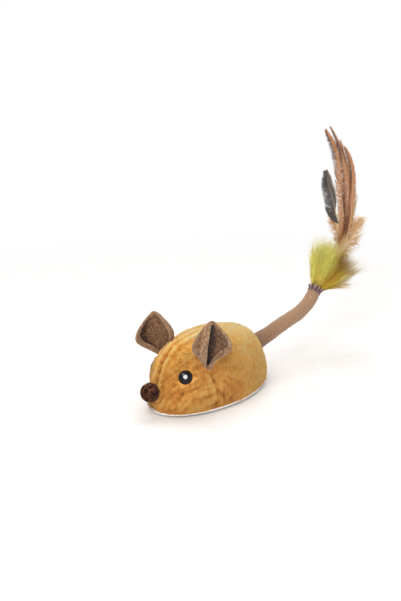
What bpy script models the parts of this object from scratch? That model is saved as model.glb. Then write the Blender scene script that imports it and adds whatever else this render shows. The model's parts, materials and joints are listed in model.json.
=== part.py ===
"""Robotic mouse for cats: a plush mouse on a two-motor chassis, with a curved tail that ends in feathers.

Lengths are in metres, +Z is up, the nose points to -Y and the mouse's left side is at +X.
The origin lies on the flat underside of the base, below the middle of the body.
The wheels reach below it to the ground, at -GROUND_CLEARANCE.
"""

import math

import bmesh
import bpy
from mathutils import Matrix, Vector

# Driving sizes of the plush body
BODY_LENGTH = 0.1100
BODY_WIDTH = 0.0564
BODY_HEIGHT = 0.0533
GROUND_CLEARANCE = 0.0020

# Gaps that every fit is made from
SEAT_GAP = 0.0003
PRESS_GAP = 0.00005
RUNNING_GAP = 0.00009
OVERRUN = 0.0020
FUSE = 0.0002

# Walls from the pile's surface inwards
PLUSH_THICKNESS = 0.0032
SHELL_WALL = 0.0010
BASE_WALL = 0.0016
LIP_WALL = 0.0010
LIP_HEIGHT = 0.0030

# Shape of the skin, as pure numbers
BOXINESS = 3.2
CURL_SHARE = 0.34
CHEEK_SHARE = 0.06
CROWN_SHIFT = -0.0038
SKIN_SEGMENTS = 24
SKIN_RINGS = 10
RIM_SEGMENTS = 44

HEM_LEVEL = BASE_WALL + SEAT_GAP
SHELL_INSET = PLUSH_THICKNESS + SEAT_GAP
CAVITY_INSET = SHELL_INSET + SHELL_WALL
LIP_INSET = CAVITY_INSET + SEAT_GAP

# Places in the body, as shares of its length, width and height
NOSE_LEVEL_SHARE = 0.347
EYE_LEVEL_SHARE = 0.548
EYE_FORWARD_SHARE = 0.373
EAR_SIDE_SHARE = 0.401
EAR_FORWARD_SHARE = 0.2145
EAR_LEVEL_SHARE = 0.6585
TAIL_ROOT_SHARE = 0.557
CASTER_SHARE = 0.309
WHEEL_BACK_SHARE = 0.1545
WHEEL_OUTER_SHARE = 0.312
FRONT_SCREW_SHARE = 0.164
REAR_SCREW_SHARE = 0.327
BATTERY_FORWARD_SHARE = 0.4045
BATTERY_LENGTH_SHARE = 0.2636
BATTERY_WIDTH_SHARE = 0.3546
BOARD_WIDTH_SHARE = 0.412
SWITCH_SIDE_SHARE = 0.124

# Eyes and nose, on the skin
NOSE_RADIUS = 0.0067
NOSE_LEVEL = NOSE_LEVEL_SHARE * BODY_HEIGHT
NOSE_REACH = 0.0052
EYE_RADIUS = 0.0048
EYE_HEIGHT = 0.0034
EYE_LEVEL = EYE_LEVEL_SHARE * BODY_HEIGHT
EYE_FORWARD = EYE_FORWARD_SHARE * BODY_LENGTH
EYE_POST_RADIUS = 0.0011
EYE_POST_TAIL = 0.0008
WASHER_RADIUS = 0.0040
WASHER_WALL = 0.0009
WASHER_STANDOFF = 0.0013

# Ears: leaves of thick felt folded into open cones. Turns and folds are in degrees.
EAR_SIDE = EAR_SIDE_SHARE * BODY_WIDTH
EAR_FORWARD = EAR_FORWARD_SHARE * BODY_LENGTH
EAR_LEVEL = EAR_LEVEL_SHARE * BODY_HEIGHT
EAR_LENGTH = 0.0362
EAR_HALF_FELT = 0.0195
EAR_FELT = 0.0022
EAR_LEAN_SHARES = (0.27, -0.12, 0.95)
EAR_LEAF_SHARES = ((0, 0.26), (0.2, 0.56), (0.5, 1.0), (0.7, 0.80), (0.9, 0.34), (1, 0.05))
EAR_FOLDS = ((0, 150), (0.25, 118), (0.50, 66), (0.75, 52), (1, 40))
LEFT_EAR_TURN = 58
RIGHT_EAR_TURN = 27

# Tail: a fabric sleeve on a springy core, pushed into a socket of the upper shell
TAIL_ROOT_LEVEL = TAIL_ROOT_SHARE * BODY_HEIGHT
TAIL_REACH = 0.0710
TAIL_RISE = 0.0266
TAIL_ROUTE_SHARES = (
    ((0, 0), (0.18, 0.10), (0.36, 0.235), (0.52, 0.34), (0.68, 0.44), (0.79, 0.55), (0.89, 0.70))
    + ((0.95, 0.84), (1, 1))
)
TAIL_CORE_RADIUS = 0.0031
TAIL_SLEEVE_WALL = 0.0013
TAIL_FLARE_SHARES = ((0, 1.16), (0.10, 1.03), (0.25, 1.0), (1, 1.0))
TAIL_STEPS = 15
CUFF_LENGTH = 0.0042
CUFF_WALL = 0.0024
CUFF_GATHERS = 11
CUFF_GATHER_DEPTH = 0.0007
SOCKET_WALL = 0.0016
SOCKET_DEPTH = 0.0085

# Feathers: flat vanes side by side, each on its own quill
PLUME_RISE = 0.1325
PLUME_REACH = 0.0450
VANE_THICKNESS = 0.0006
QUILL_HALF_WIDTH = 0.0007
FEATHER_STEPS = 12
VANE_SHARES = (
    ((0, 0), (0.22, 0.02), (0.34, 0.30), (0.50, 0.86), (0.68, 1.0), (0.84, 0.80), (0.94, 0.42), (1, 0.0))
)
LONG_HALF_WIDTH = 0.0068
SLATE_HALF_WIDTH = 0.0072
DOWN_HALF_WIDTH = 0.0066
FEATHER_ROUTE_SHARES = {
    "feather_down_left": ((0, 0), (0.20, 0.11), (0.36, 0.22), (0.42, 0.34), (0.36, 0.45)),
    "feather_slate": (
        ((0, 0), (0.27, 0.11), (0.52, 0.23), (0.64, 0.35), (0.57, 0.48), (0.38, 0.61), (0.28, 0.73))
    ),
    "feather_long_left": (
        ((0, 0), (0.31, 0.09), (0.62, 0.19), (0.78, 0.36), (0.87, 0.52), (0.83, 0.68), (0.67, 0.82))
        + ((0.47, 0.93), (0.31, 1.0))
    ),
    "feather_long_middle": (
        ((0, 0), (0.34, 0.09), (0.68, 0.19), (0.86, 0.36), (0.98, 0.52), (0.95, 0.68), (0.81, 0.81))
        + ((0.62, 0.91), (0.45, 0.97))
    ),
    "feather_long_right": (
        ((0, 0), (0.37, 0.09), (0.74, 0.19), (0.95, 0.36), (1.10, 0.52), (1.08, 0.66), (0.96, 0.76))
        + ((0.80, 0.84), (0.63, 0.90))
    ),
    "feather_down_right": ((0, 0), (0.40, 0.09), (0.80, 0.18), (1.08, 0.27), (1.20, 0.38)),
}

# Fluff: a puff of down in two lobes, one on each side of the vanes
FLUFF_LENGTH = 0.0520
FLUFF_HALF_WIDTH = 0.0270
FLUFF_HALF_DEPTH = 0.0135
FLUFF_ANGLE = 49
FLUFF_SWELL = 1.15

# Drive wheels
WHEEL_RADIUS = 0.0110
WHEEL_BACK = WHEEL_BACK_SHARE * BODY_LENGTH
TYRE_WIDTH = 0.0046
TYRE_WALL = 0.0026
TYRE_LUGS = 20
TYRE_LUG_HEIGHT = 0.0006
TYRE_GROOVE_SHARE = 0.28
AXLE_RADIUS = 0.0010
AXLE_TAIL = 0.0008
HUB_WEB = 0.0014
HUB_RIM_WALL = 0.0010
HUB_BOSS_RADIUS = 0.0024

# Gears: involute teeth on four parallel shafts
TOOTH_MODULE = 0.0005
PRESSURE_ANGLE = 20
ADDENDUM_SHARE = 0.90
DEDENDUM_SHARE = 1.15
BACKLASH = 0.00010
PINION_TEETH = 8
REDUCTION_TEETH = 24
REDUCTION_SMALL_TEETH = 9
FINAL_TEETH = 24
FLANK_STEPS = 2
INPUT_GEAR_WIDTH = 0.0015
FINAL_GEAR_WIDTH = 0.0016
IDLER_PIN_RADIUS = 0.0006

# Drive frame: two upright plates on a floor, with an outer plate at each side
FRAME_WALL = 0.0010
FRAME_FLOOR_LEVEL = 0.0043
FRAME_FLOOR = 0.0012
FRAME_MARGIN = 0.0032
COVER_WALL = 0.0009
SPACER_RADIUS = 0.0011
GEAR_SIDE_GAP = 0.0003
LEFT_REDUCTION_ANGLE = 155
LEFT_MOTOR_ANGLE = 185
RIGHT_REDUCTION_ANGLE = 100
RIGHT_MOTOR_ANGLE = 150
SPACER_ANGLES = {1: (0, 92, 205), -1: (0, 186, 152)}

# Motors
MOTOR_RADIUS = 0.0040
MOTOR_BOSS_RADIUS = 0.0015
MOTOR_CHAMFER = 0.0005
MOTOR_CAP_RADIUS = 0.0030
MOTOR_CAP = 0.0008
MOTOR_FLAT_HALF = 0.0034
MOTOR_SHAFT_RADIUS = 0.0005
MOTOR_SHAFT_DEPTH = 0.0050

# Swivelling caster under the chin
CASTER_FORWARD = CASTER_SHARE * BODY_LENGTH
CASTER_WHEEL_RADIUS = 0.0045
CASTER_WHEEL_WIDTH = 0.0038
CASTER_TRAIL = 0.0025
CASTER_AXLE_RADIUS = 0.00075
FORK_DISC_RADIUS = 0.0056
FORK_DISC = 0.0010
FORK_ARM = 0.0010
FORK_ARM_HALF_LENGTH = 0.0018
FORK_STEM_RADIUS = 0.0015
FORK_STEM_LENGTH = 0.0050
CASTER_SIDE_GAP = 0.0003
WELL_RADIUS = 0.0092
WELL_WALL = 0.0010
WELL_ROOF = 0.0014
WELL_BOSS_RADIUS = 0.0032

# Circuit board with its switch, socket and sensor
BOARD_HALF_WIDTH = BOARD_WIDTH_SHARE * BODY_WIDTH / 2
BOARD_MARGIN = 0.0005
BOARD_LEVEL = 0.0066
BOARD_WALL = 0.0012
STANDOFF_RADIUS = 0.0016
STANDOFF_MARGIN = 0.0022
SWITCH_SIDE = SWITCH_SIDE_SHARE * BODY_WIDTH
SWITCH_LENGTH = 0.0086
SWITCH_WIDTH = 0.0036
SWITCH_DEPTH = 0.0034
SWITCH_WALL = 0.0005
KNOB_LENGTH = 0.0022
KNOB_WIDTH = 0.0016
KNOB_RECESS = 0.0003
SWITCH_TRAVEL = 0.0020
SOCKET_SIDE = SWITCH_SIDE_SHARE * BODY_WIDTH
PORT_LENGTH = 0.0089
PORT_WIDTH = 0.0032
PORT_WALL = 0.0004
PORT_TONGUE = 0.0007
SENSOR_RADIUS = 0.0015
SENSOR_LENGTH = 0.0070

# Battery
BATTERY_LENGTH = BATTERY_LENGTH_SHARE * BODY_LENGTH
BATTERY_WIDTH = BATTERY_WIDTH_SHARE * BODY_WIDTH
BATTERY_THICKNESS = 0.0060
BATTERY_FORWARD = BATTERY_FORWARD_SHARE * BODY_LENGTH
BATTERY_ROUNDING = 0.0012
PAD_LENGTH_SHARE = 0.36
PAD_MARGIN_SHARE = 0.072
PAD_WIDTH = 0.0150
LEAD_RADIUS = 0.0005
LEAD_SIDE = 0.0026
LEAD_SPACING = 0.0018
LEAD_REACH = 0.0030
LEAD_STEPS = 9

# Case screws and bosses
SCREW_RADIUS = 0.0010
SCREW_HEAD_RADIUS = 0.0020
SCREW_HEAD = 0.0012
SCREW_RECESS = 0.0004
CASE_SCREW_LENGTH = 0.0110
FRAME_SCREW_LENGTH = 0.0034
BOSS_RADIUS = 0.0027
BOSS_HEIGHT = 0.0064
BOSS_MARGIN = 0.0004
FRONT_SCREW_FORWARD = FRONT_SCREW_SHARE * BODY_LENGTH
REAR_SCREW_BACK = REAR_SCREW_SHARE * BODY_LENGTH
SLOT_SIDES = 0.0003

# Points within this distance are one
WELD = 0.000005

# Facets of round shapes
WIDE_ROUND = 24
ROUND = 20
MIDDLE_ROUND = 16
SMALL_ROUND = 12
HOLE_ROUND = 6
HUB_HOLES = 5
FLUFF_RINGS = 10
NOSE_RINGS = 9
EYE_RINGS = 4


def new_collection(name, hidden=False):
    """Collection of the scene that holds either the parts or the helpers that cut them."""
    collection = bpy.data.collections.new(name)
    collection.hide_render = hidden
    bpy.context.scene.collection.children.link(collection)
    return collection


for leftover in list(bpy.data.objects):
    bpy.data.objects.remove(leftover)
PARTS = new_collection("robotic_mouse")
HELPERS = new_collection("helpers", hidden=True)
MATERIALS = {}


def material(name, colour, roughness, metallic=0.0):
    """Principled material, made once for each name."""
    if name not in MATERIALS:
        made = bpy.data.materials.new(name)
        made.use_nodes = True
        shader = made.node_tree.nodes["Principled BSDF"]
        shader.inputs["Base Color"].default_value = (*colour, 1)
        shader.inputs["Roughness"].default_value = roughness
        shader.inputs["Metallic"].default_value = metallic
        MATERIALS[name] = made
    return MATERIALS[name]


def plush():
    return material("golden_plush", (0.66, 0.38, 0.13), 0.95)


def brown_felt():
    return material("brown_felt", (0.20, 0.12, 0.08), 0.95)


def tail_fabric():
    return material("tail_fabric", (0.33, 0.22, 0.17), 0.9)


def white_plastic():
    return material("white_plastic", (0.86, 0.84, 0.80), 0.35)


def black_plastic():
    return material("black_plastic", (0.02, 0.02, 0.022), 0.3)


def gear_plastic():
    return material("gear_plastic", (0.80, 0.78, 0.66), 0.4)


def rubber():
    return material("tyre_rubber", (0.03, 0.03, 0.03), 0.85)


def steel():
    return material("steel", (0.62, 0.62, 0.64), 0.3, 1.0)


def add_object(name, mesh, finish, where=(0, 0, 0)):
    """Object for a mesh, in the parts' collection or, without a finish, among the helpers."""
    made = bpy.data.objects.new(name, mesh)
    made.location = where
    if finish is None:
        HELPERS.objects.link(made)
        made.hide_render = True
        made.display_type = "WIRE"
        return made
    PARTS.objects.link(made)
    mesh.materials.append(finish)
    return made


def mesh_from(name, shape):
    """Mesh of a bmesh, with smooth shading on its rounder edges."""
    mesh = bpy.data.meshes.new(name)
    bmesh.ops.recalc_face_normals(shape, faces=shape.faces)
    shape.to_mesh(mesh)
    shape.free()
    mesh.shade_smooth()
    mesh.set_sharp_from_angle(angle=math.radians(35))
    return mesh


def set_origin(obj, point):
    """Moves an object's origin to a point and leaves its shape where it is."""
    obj.data.transform(Matrix.Translation(-Vector(point)))
    obj.location = point
    return obj


def combine(target, other, operation):
    """Boolean modifier that joins, cuts or keeps what the two shapes share."""
    modifier = target.modifiers.new(operation.lower(), "BOOLEAN")
    modifier.operation = operation
    modifier.solver = "EXACT"
    modifier.object = other
    return target


def cut(target, *others):
    for other in others:
        combine(target, other, "DIFFERENCE")
    return target


def join(target, *others):
    for other in others:
        combine(target, other, "UNION")
    return target


def block(name, low, high, finish=None):
    """Box between two corners."""
    low, high = Vector(low), Vector(high)
    shape = bmesh.new()
    bmesh.ops.create_cube(shape, size=1)
    place = Matrix.Translation((low + high) / 2) @ Matrix.Diagonal((*(high - low), 1))
    bmesh.ops.transform(shape, matrix=place, verts=shape.verts)
    return add_object(name, mesh_from(name, shape), finish)


def rod(name, radius, start, end, finish=None, segments=ROUND):
    """Cylinder between two points."""
    start, end = Vector(start), Vector(end)
    shape = bmesh.new()
    bmesh.ops.create_cone(
        shape,
        cap_ends=True,
        segments=segments,
        radius1=radius,
        radius2=radius,
        depth=(end - start).length,
    )
    turn = (end - start).to_track_quat("Z", "Y").to_matrix().to_4x4()
    bmesh.ops.transform(shape, matrix=Matrix.Translation((start + end) / 2) @ turn, verts=shape.verts)
    return add_object(name, mesh_from(name, shape), finish)


def turned(name, profile, where, direction, finish=None, steps=ROUND):
    """Solid of revolution. The profile's (radius, height) points run down its outer side."""
    mesh = bpy.data.meshes.new(name)
    closed = profile[0][0] > 0
    count = len(profile)
    edges = [(k, (k + 1) % count) for k in range(count if closed else count - 1)]
    mesh.from_pydata([(radius, 0, height) for radius, height in profile], edges, [])
    made = add_object(name, mesh, finish, where)
    made.rotation_mode = "QUATERNION"
    made.rotation_quaternion = Vector(direction).to_track_quat("Z", "Y")
    screw = made.modifiers.new("turn", "SCREW")
    screw.steps = steps
    screw.render_steps = steps
    screw.use_merge_vertices = True
    screw.merge_threshold = WELD
    return made


def settled(obj):
    """The same object with its modifiers applied and its coincident points welded."""
    bpy.context.view_layer.update()
    evaluated = obj.evaluated_get(bpy.context.evaluated_depsgraph_get())
    mesh = bpy.data.meshes.new_from_object(evaluated)
    shape = bmesh.new()
    shape.from_mesh(mesh)
    bmesh.ops.remove_doubles(shape, verts=shape.verts, dist=WELD)
    obj.modifiers.clear()
    obj.data = mesh_from(obj.name, shape)
    return obj


def circle(radius, centre=(0, 0), count=ROUND, start=0.0):
    """Points of a round outline."""
    turns = [start + 2 * math.pi * k / count for k in range(count)]
    return [(centre[0] + radius * math.cos(t), centre[1] + radius * math.sin(t)) for t in turns]


def rounded_box(half_length, half_width, centre=(0, 0), radius=None, corner_steps=4):
    """Points of a rectangle with round corners, fully round at its ends without a radius."""
    radius = min(half_length, half_width) if radius is None else radius
    points = []
    for corner, (side_x, side_y) in enumerate(((1, 1), (-1, 1), (-1, -1), (1, -1))):
        middle_x = centre[0] + side_x * (half_length - radius)
        middle_y = centre[1] + side_y * (half_width - radius)
        for step in range(corner_steps):
            turn = (corner + step / (corner_steps - 1)) * math.pi / 2
            points.append((middle_x + radius * math.cos(turn), middle_y + radius * math.sin(turn)))
    return [p for k, p in enumerate(points) if math.dist(p, points[k - 1]) > PRESS_GAP]


UPRIGHT = Matrix(((0, 0, 1, 0), (1, 0, 0, 0), (0, 1, 0, 0), (0, 0, 0, 1)))


def plate(name, outline, low, high, finish=None, holes=(), upright=False):
    """Flat plate from a 2D curve. An upright one has its outline in (y, z) and its thickness along X."""
    curve = bpy.data.curves.new(name, "CURVE")
    curve.dimensions = "2D"
    curve.fill_mode = "BOTH"
    curve.extrude = (high - low) / 2
    for points in (outline, *holes):
        spline = curve.splines.new("POLY")
        spline.points.add(len(points) - 1)
        spline.use_cyclic_u = True
        for target, (across, along) in zip(spline.points, points):
            target.co = (across, along, 0, 1)
    lift = Matrix.Translation((0, 0, (low + high) / 2))
    return solid_curve(name, curve, (UPRIGHT if upright else Matrix()) @ lift, finish)


def solid_curve(name, curve, place, finish):
    """Closed mesh object of a curve, whose caps are welded to its sides."""
    source = bpy.data.objects.new(name + "_curve", curve)
    HELPERS.objects.link(source)
    bpy.context.view_layer.update()
    evaluated = source.evaluated_get(bpy.context.evaluated_depsgraph_get())
    mesh = bpy.data.meshes.new_from_object(evaluated)
    shape = bmesh.new()
    shape.from_mesh(mesh)
    bmesh.ops.remove_doubles(shape, verts=shape.verts, dist=WELD)
    bmesh.ops.transform(shape, matrix=place, verts=shape.verts)
    bpy.data.objects.remove(source)
    return add_object(name, mesh_from(name, shape), finish)


def share_at(table, position):
    """Value of a table of (position, value) shares, between its rows."""
    for (before, low), (after, high) in zip(table, table[1:]):
        if position <= after:
            return low + (high - low) * (position - before) / (after - before)
    return table[-1][1]


def smooth_route(corners, steps):
    """Points of a smooth curve through the corners, at even steps of its parameter."""
    corners = [Vector(corner) for corner in corners]
    padded = [2 * corners[0] - corners[1], *corners, 2 * corners[-1] - corners[-2]]
    points = []
    for step in range(steps + 1):
        whole = step / steps * (len(corners) - 1)
        span = min(int(whole), len(corners) - 2)
        t = whole - span
        a, b, c, d = padded[span : span + 4]
        bend = 2 * a - 5 * b + 4 * c - d
        twist = 3 * b - 3 * c + d - a
        points.append((2 * b + t * (c - a) + t * t * bend + t * t * t * twist) / 2)
    return points


def tube(name, route, radius, finish=None, flare=None, resolution=2):
    """Round tube along a route, with flat ends."""
    curve = bpy.data.curves.new(name, "CURVE")
    curve.dimensions = "3D"
    curve.bevel_depth = radius
    curve.bevel_resolution = resolution
    curve.use_fill_caps = True
    spline = curve.splines.new("POLY")
    spline.points.add(len(route) - 1)
    for k, (target, point) in enumerate(zip(spline.points, route)):
        target.co = (*point, 1)
        target.radius = share_at(flare, k / (len(route) - 1)) if flare else 1
    return solid_curve(name, curve, Matrix(), finish)


def skin_point(inset, around, sine):
    """Point of the body's skin drawn in by inset.

    around is 0 at the nose and grows towards the left side. sine runs from -CURL_SHARE at the hem,
    over 0 where the skin is widest, to 1 at the crown. The reach (1 - sine^2)^(1/BOXINESS) makes the
    upright section fuller than an ellipse.
    """
    reach = max(0.0, 1 - sine * sine) ** (1 / BOXINESS)
    half_length = BODY_LENGTH / 2 - inset
    half_width = BODY_WIDTH / 2 - inset
    rise = (sine + CURL_SHARE) / (1 + CURL_SHARE)
    return Vector(
        (
            reach * half_width * math.sin(around) * (1 + CHEEK_SHARE * math.cos(around)),
            CROWN_SHIFT * (1 - reach) - reach * half_length * math.cos(around),
            HEM_LEVEL + rise * (BODY_HEIGHT - inset - HEM_LEVEL),
        )
    )


def sine_at(inset, level):
    """The skin's sine at a height."""
    return (level - HEM_LEVEL) / (BODY_HEIGHT - inset - HEM_LEVEL) * (1 + CURL_SHARE) - CURL_SHARE


def skin_at(inset, forward, level, side):
    """Point and outward direction of the skin at a height and a distance towards the nose."""
    sine = sine_at(inset, level)
    reach = (1 - sine * sine) ** (1 / BOXINESS)
    cosine = (CROWN_SHIFT * (1 - reach) + forward) / (reach * (BODY_LENGTH / 2 - inset))
    around = side * math.acos(cosine)
    small_share = 0.01
    here = skin_point(inset, around, sine)
    sideways = skin_point(inset, around + small_share, sine) - here
    upwards = skin_point(inset, around, sine + small_share) - here
    return here, sideways.cross(upwards).normalized()


def dome(name, inset, floor, finish=None):
    """Closed solid under the skin drawn in by inset, with a flat floor."""
    shape = bmesh.new()
    bmesh.ops.create_uvsphere(shape, u_segments=SKIN_SEGMENTS, v_segments=SKIN_RINGS, radius=1)
    for vertex in shape.verts:
        around = math.atan2(vertex.co.x, -vertex.co.y)
        vertex.co = skin_point(inset, around, max(-1.0, min(1.0, vertex.co.z)))
    parts = shape.verts[:] + shape.edges[:] + shape.faces[:]
    sliced = bmesh.ops.bisect_plane(
        shape, geom=parts, plane_co=(0, 0, floor), plane_no=(0, 0, -1), clear_outer=True
    )
    rim = [item for item in sliced["geom_cut"] if isinstance(item, bmesh.types.BMEdge)]
    bmesh.ops.contextual_create(shape, geom=rim)
    return add_object(name, mesh_from(name, shape), finish)


def hem_outline(inset, count=SKIN_SEGMENTS):
    """Plan outline of the skin at the hem, drawn in by inset."""
    turns = [2 * math.pi * k / count for k in range(count)]
    return [tuple(skin_point(inset, -turn, -CURL_SHARE).xy) for turn in turns]


def toothed_outline(teeth, phase):
    """Outline of a spur gear about its own centre, with involute flanks.

    A flank point at radius r lies at the angle half + inv(PRESSURE_ANGLE) - inv(acos(base / r)) from its
    tooth's middle, where inv(a) = tan(a) - a. Below the base circle the flank is radial.
    """
    pressure = math.radians(PRESSURE_ANGLE)
    pitch = TOOTH_MODULE * teeth / 2
    base = pitch * math.cos(pressure)
    tip = pitch + ADDENDUM_SHARE * TOOTH_MODULE
    root = pitch - DEDENDUM_SHARE * TOOTH_MODULE
    half = math.pi / (2 * teeth) - BACKLASH / (2 * pitch) + math.tan(pressure) - pressure
    start = max(base, root)
    flank = []
    for step in range(FLANK_STEPS):
        radius = start + (tip - start) * step / (FLANK_STEPS - 1)
        angle = math.acos(min(1.0, base / radius))
        flank.append((radius, half - math.tan(angle) + angle))
    if root < base:
        flank.insert(0, (root, flank[0][1]))
    points = []
    for tooth in range(teeth):
        middle = phase + 2 * math.pi * tooth / teeth
        sides = [(radius, middle - width) for radius, width in flank]
        sides += [(radius, middle + width) for radius, width in reversed(flank)]
        points += [(radius * math.cos(turn), radius * math.sin(turn)) for radius, turn in sides]
    return points


def moved(points, centre):
    return [(across + centre[0], along + centre[1]) for across, along in points]


def meshing_phase(phase, teeth, direction, other_teeth):
    """Phase of a gear that meets another one, which lies in the given direction from it."""
    return direction + math.pi + math.pi / other_teeth - (phase - direction) * teeth / other_teeth


def pitch_distance(teeth, other_teeth):
    return TOOTH_MODULE * (teeth + other_teeth) / 2


def polar(centre, distance, degrees):
    turn = math.radians(degrees)
    return (centre[0] + distance * math.cos(turn), centre[1] + distance * math.sin(turn))


WHEEL_AXIS = (WHEEL_BACK, WHEEL_RADIUS - GROUND_CLEARANCE)
REDUCTION_ANGLES = {1: LEFT_REDUCTION_ANGLE, -1: RIGHT_REDUCTION_ANGLE}
MOTOR_ANGLES = {1: LEFT_MOTOR_ANGLE, -1: RIGHT_MOTOR_ANGLE}
WHEEL_TO = WHEEL_OUTER_SHARE * BODY_WIDTH
WHEEL_FROM = WHEEL_TO - TYRE_WIDTH
COVER_TO = WHEEL_FROM - SEAT_GAP
COVER_FROM = COVER_TO - COVER_WALL
FINAL_TO = COVER_FROM - GEAR_SIDE_GAP
FINAL_FROM = FINAL_TO - FINAL_GEAR_WIDTH
INPUT_TO = FINAL_FROM - GEAR_SIDE_GAP
INPUT_FROM = INPUT_TO - INPUT_GEAR_WIDTH
FRAME_OUTER = INPUT_FROM - GEAR_SIDE_GAP
FRAME_INNER = FRAME_OUTER - FRAME_WALL
SIDES = {1: "left", -1: "right"}


def gear_tip(teeth):
    return TOOTH_MODULE * teeth / 2 + ADDENDUM_SHARE * TOOTH_MODULE


def train(side):
    """Places of one side's shafts in (y, z), and the phases of its gears."""
    reduction_turn = REDUCTION_ANGLES[side]
    motor_turn = MOTOR_ANGLES[side]
    reduction = polar(WHEEL_AXIS, pitch_distance(FINAL_TEETH, REDUCTION_SMALL_TEETH), reduction_turn)
    motor = polar(reduction, pitch_distance(REDUCTION_TEETH, PINION_TEETH), motor_turn)
    small_phase = meshing_phase(0.0, FINAL_TEETH, math.radians(reduction_turn), REDUCTION_SMALL_TEETH)
    pinion_phase = meshing_phase(small_phase, REDUCTION_TEETH, math.radians(motor_turn), PINION_TEETH)
    return reduction, motor, small_phase, pinion_phase


def spacers(side):
    """Places in (y, z) of the posts that hold a side's outer plate off the frame."""
    _, motor, _, _ = train(side)
    rear, upper, front = SPACER_ANGLES[side]
    clear = SEAT_GAP + SPACER_RADIUS
    around_wheel = gear_tip(FINAL_TEETH) + 2 * clear
    around_motor = gear_tip(PINION_TEETH) + 2 * clear
    return [
        polar(WHEEL_AXIS, around_wheel, rear),
        polar(WHEEL_AXIS, around_wheel, upper),
        polar(motor, around_motor, front),
    ]


def hull(points):
    """Outline of the points' convex hull, counter-clockwise."""
    ordered = sorted(set(points))
    chains = []
    for run in (ordered, ordered[::-1]):
        chain = []
        for point in run:
            while len(chain) > 1 and turn_of(chain[-2], chain[-1], point) <= 0:
                chain.pop()
            chain.append(point)
        chains += chain[:-1]
    return chains


def turn_of(a, b, c):
    return (b[0] - a[0]) * (c[1] - a[1]) - (b[1] - a[1]) * (c[0] - a[0])


def around(places, margin):
    """Outline that passes round every place at a margin."""
    return hull([point for place in places for point in circle(margin, place, SMALL_ROUND)])


def bearing_holes(side, motor_hole):
    """Holes of an upright plate for the axle, the idler pin and, in the frame, the motor's boss."""
    reduction, motor, _, _ = train(side)
    holes = [
        circle(AXLE_RADIUS + RUNNING_GAP, WHEEL_AXIS, SMALL_ROUND),
        circle(IDLER_PIN_RADIUS + PRESS_GAP, reduction, SMALL_ROUND),
    ]
    if motor_hole:
        holes.append(circle(MOTOR_BOSS_RADIUS + RUNNING_GAP, motor, SMALL_ROUND))
    return holes


def span(side, near, far):
    """The two X values of a slice on one side, in rising order."""
    return sorted((side * near, side * far))


def frame_length():
    """How far the frame reaches forward and back."""
    places = [place for side in SIDES for place in (*spacers(side), train(side)[1])]
    return min(p[0] for p in places) - FRAME_MARGIN, max(p[0] for p in places) + FRAME_MARGIN


def frame_screws():
    """How far back the two screws lie that hold the frame to the base."""
    front, rear = frame_length()
    inset = SCREW_HEAD_RADIUS + SEAT_GAP
    return front + inset, rear - inset


def make_drive_frame():
    """Floor and two upright plates that carry the motors and the inner ends of the shafts."""
    front, rear = frame_length()
    floor_top = FRAME_FLOOR_LEVEL + FRAME_FLOOR
    frame = block(
        "drive_frame",
        (-FRAME_OUTER, front, FRAME_FLOOR_LEVEL),
        (FRAME_OUTER, rear, floor_top),
        white_plastic(),
    )
    for side, name in SIDES.items():
        reduction, motor, _, _ = train(side)
        places = [*spacers(side), reduction, motor]
        feet = [(end, level) for end in (front, rear) for level in (FRAME_FLOOR_LEVEL, floor_top)]
        outline = hull(around(places, FRAME_MARGIN) + feet)
        outline = hull([(y, max(z, FRAME_FLOOR_LEVEL)) for y, z in outline])
        low, high = span(side, FRAME_INNER, FRAME_OUTER)
        holes = bearing_holes(side, True)
        wall = plate(f"frame_wall_{name}", outline, low, high, holes=holes, upright=True)
        join(frame, wall)
    _, lower_motor, _, _ = train(1)
    saddle = block(
        "motor_cradle",
        (-FRAME_INNER / 2, lower_motor[0] - MOTOR_BOSS_RADIUS, FRAME_FLOOR_LEVEL + FUSE),
        (FRAME_INNER / 2, lower_motor[0] + MOTOR_BOSS_RADIUS, lower_motor[1] - MOTOR_RADIUS / 2),
    )
    room = rod(
        "motor_room", MOTOR_RADIUS + SEAT_GAP, (-FRAME_INNER, *lower_motor), (FRAME_INNER, *lower_motor)
    )
    join(frame, cut(saddle, room))
    for number, y in enumerate(frame_screws()):
        hole = rod(
            f"frame_screw_hole_{number}",
            SCREW_RADIUS + RUNNING_GAP,
            (0, y, FRAME_FLOOR_LEVEL - OVERRUN),
            (0, y, floor_top + OVERRUN),
            segments=SMALL_ROUND,
        )
        cut(frame, hole)
    return frame


def make_cover(side):
    """Outer plate of one gear train, with the posts that hold it off the frame."""
    reduction, _, _, _ = train(side)
    places = [*spacers(side), reduction]
    low, high = span(side, COVER_FROM, COVER_TO)
    margin = SPACER_RADIUS + SEAT_GAP
    cover = plate(
        f"gear_cover_{SIDES[side]}",
        around(places, margin),
        low,
        high,
        gear_plastic(),
        holes=bearing_holes(side, False),
        upright=True,
    )
    for number, place in enumerate(spacers(side)):
        post = rod(
            f"cover_post_{SIDES[side]}_{number}",
            SPACER_RADIUS,
            (side * (FRAME_OUTER + PRESS_GAP), *place),
            (side * (COVER_FROM + FUSE), *place),
            segments=SMALL_ROUND,
        )
        join(cover, post)
    return cover


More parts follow.
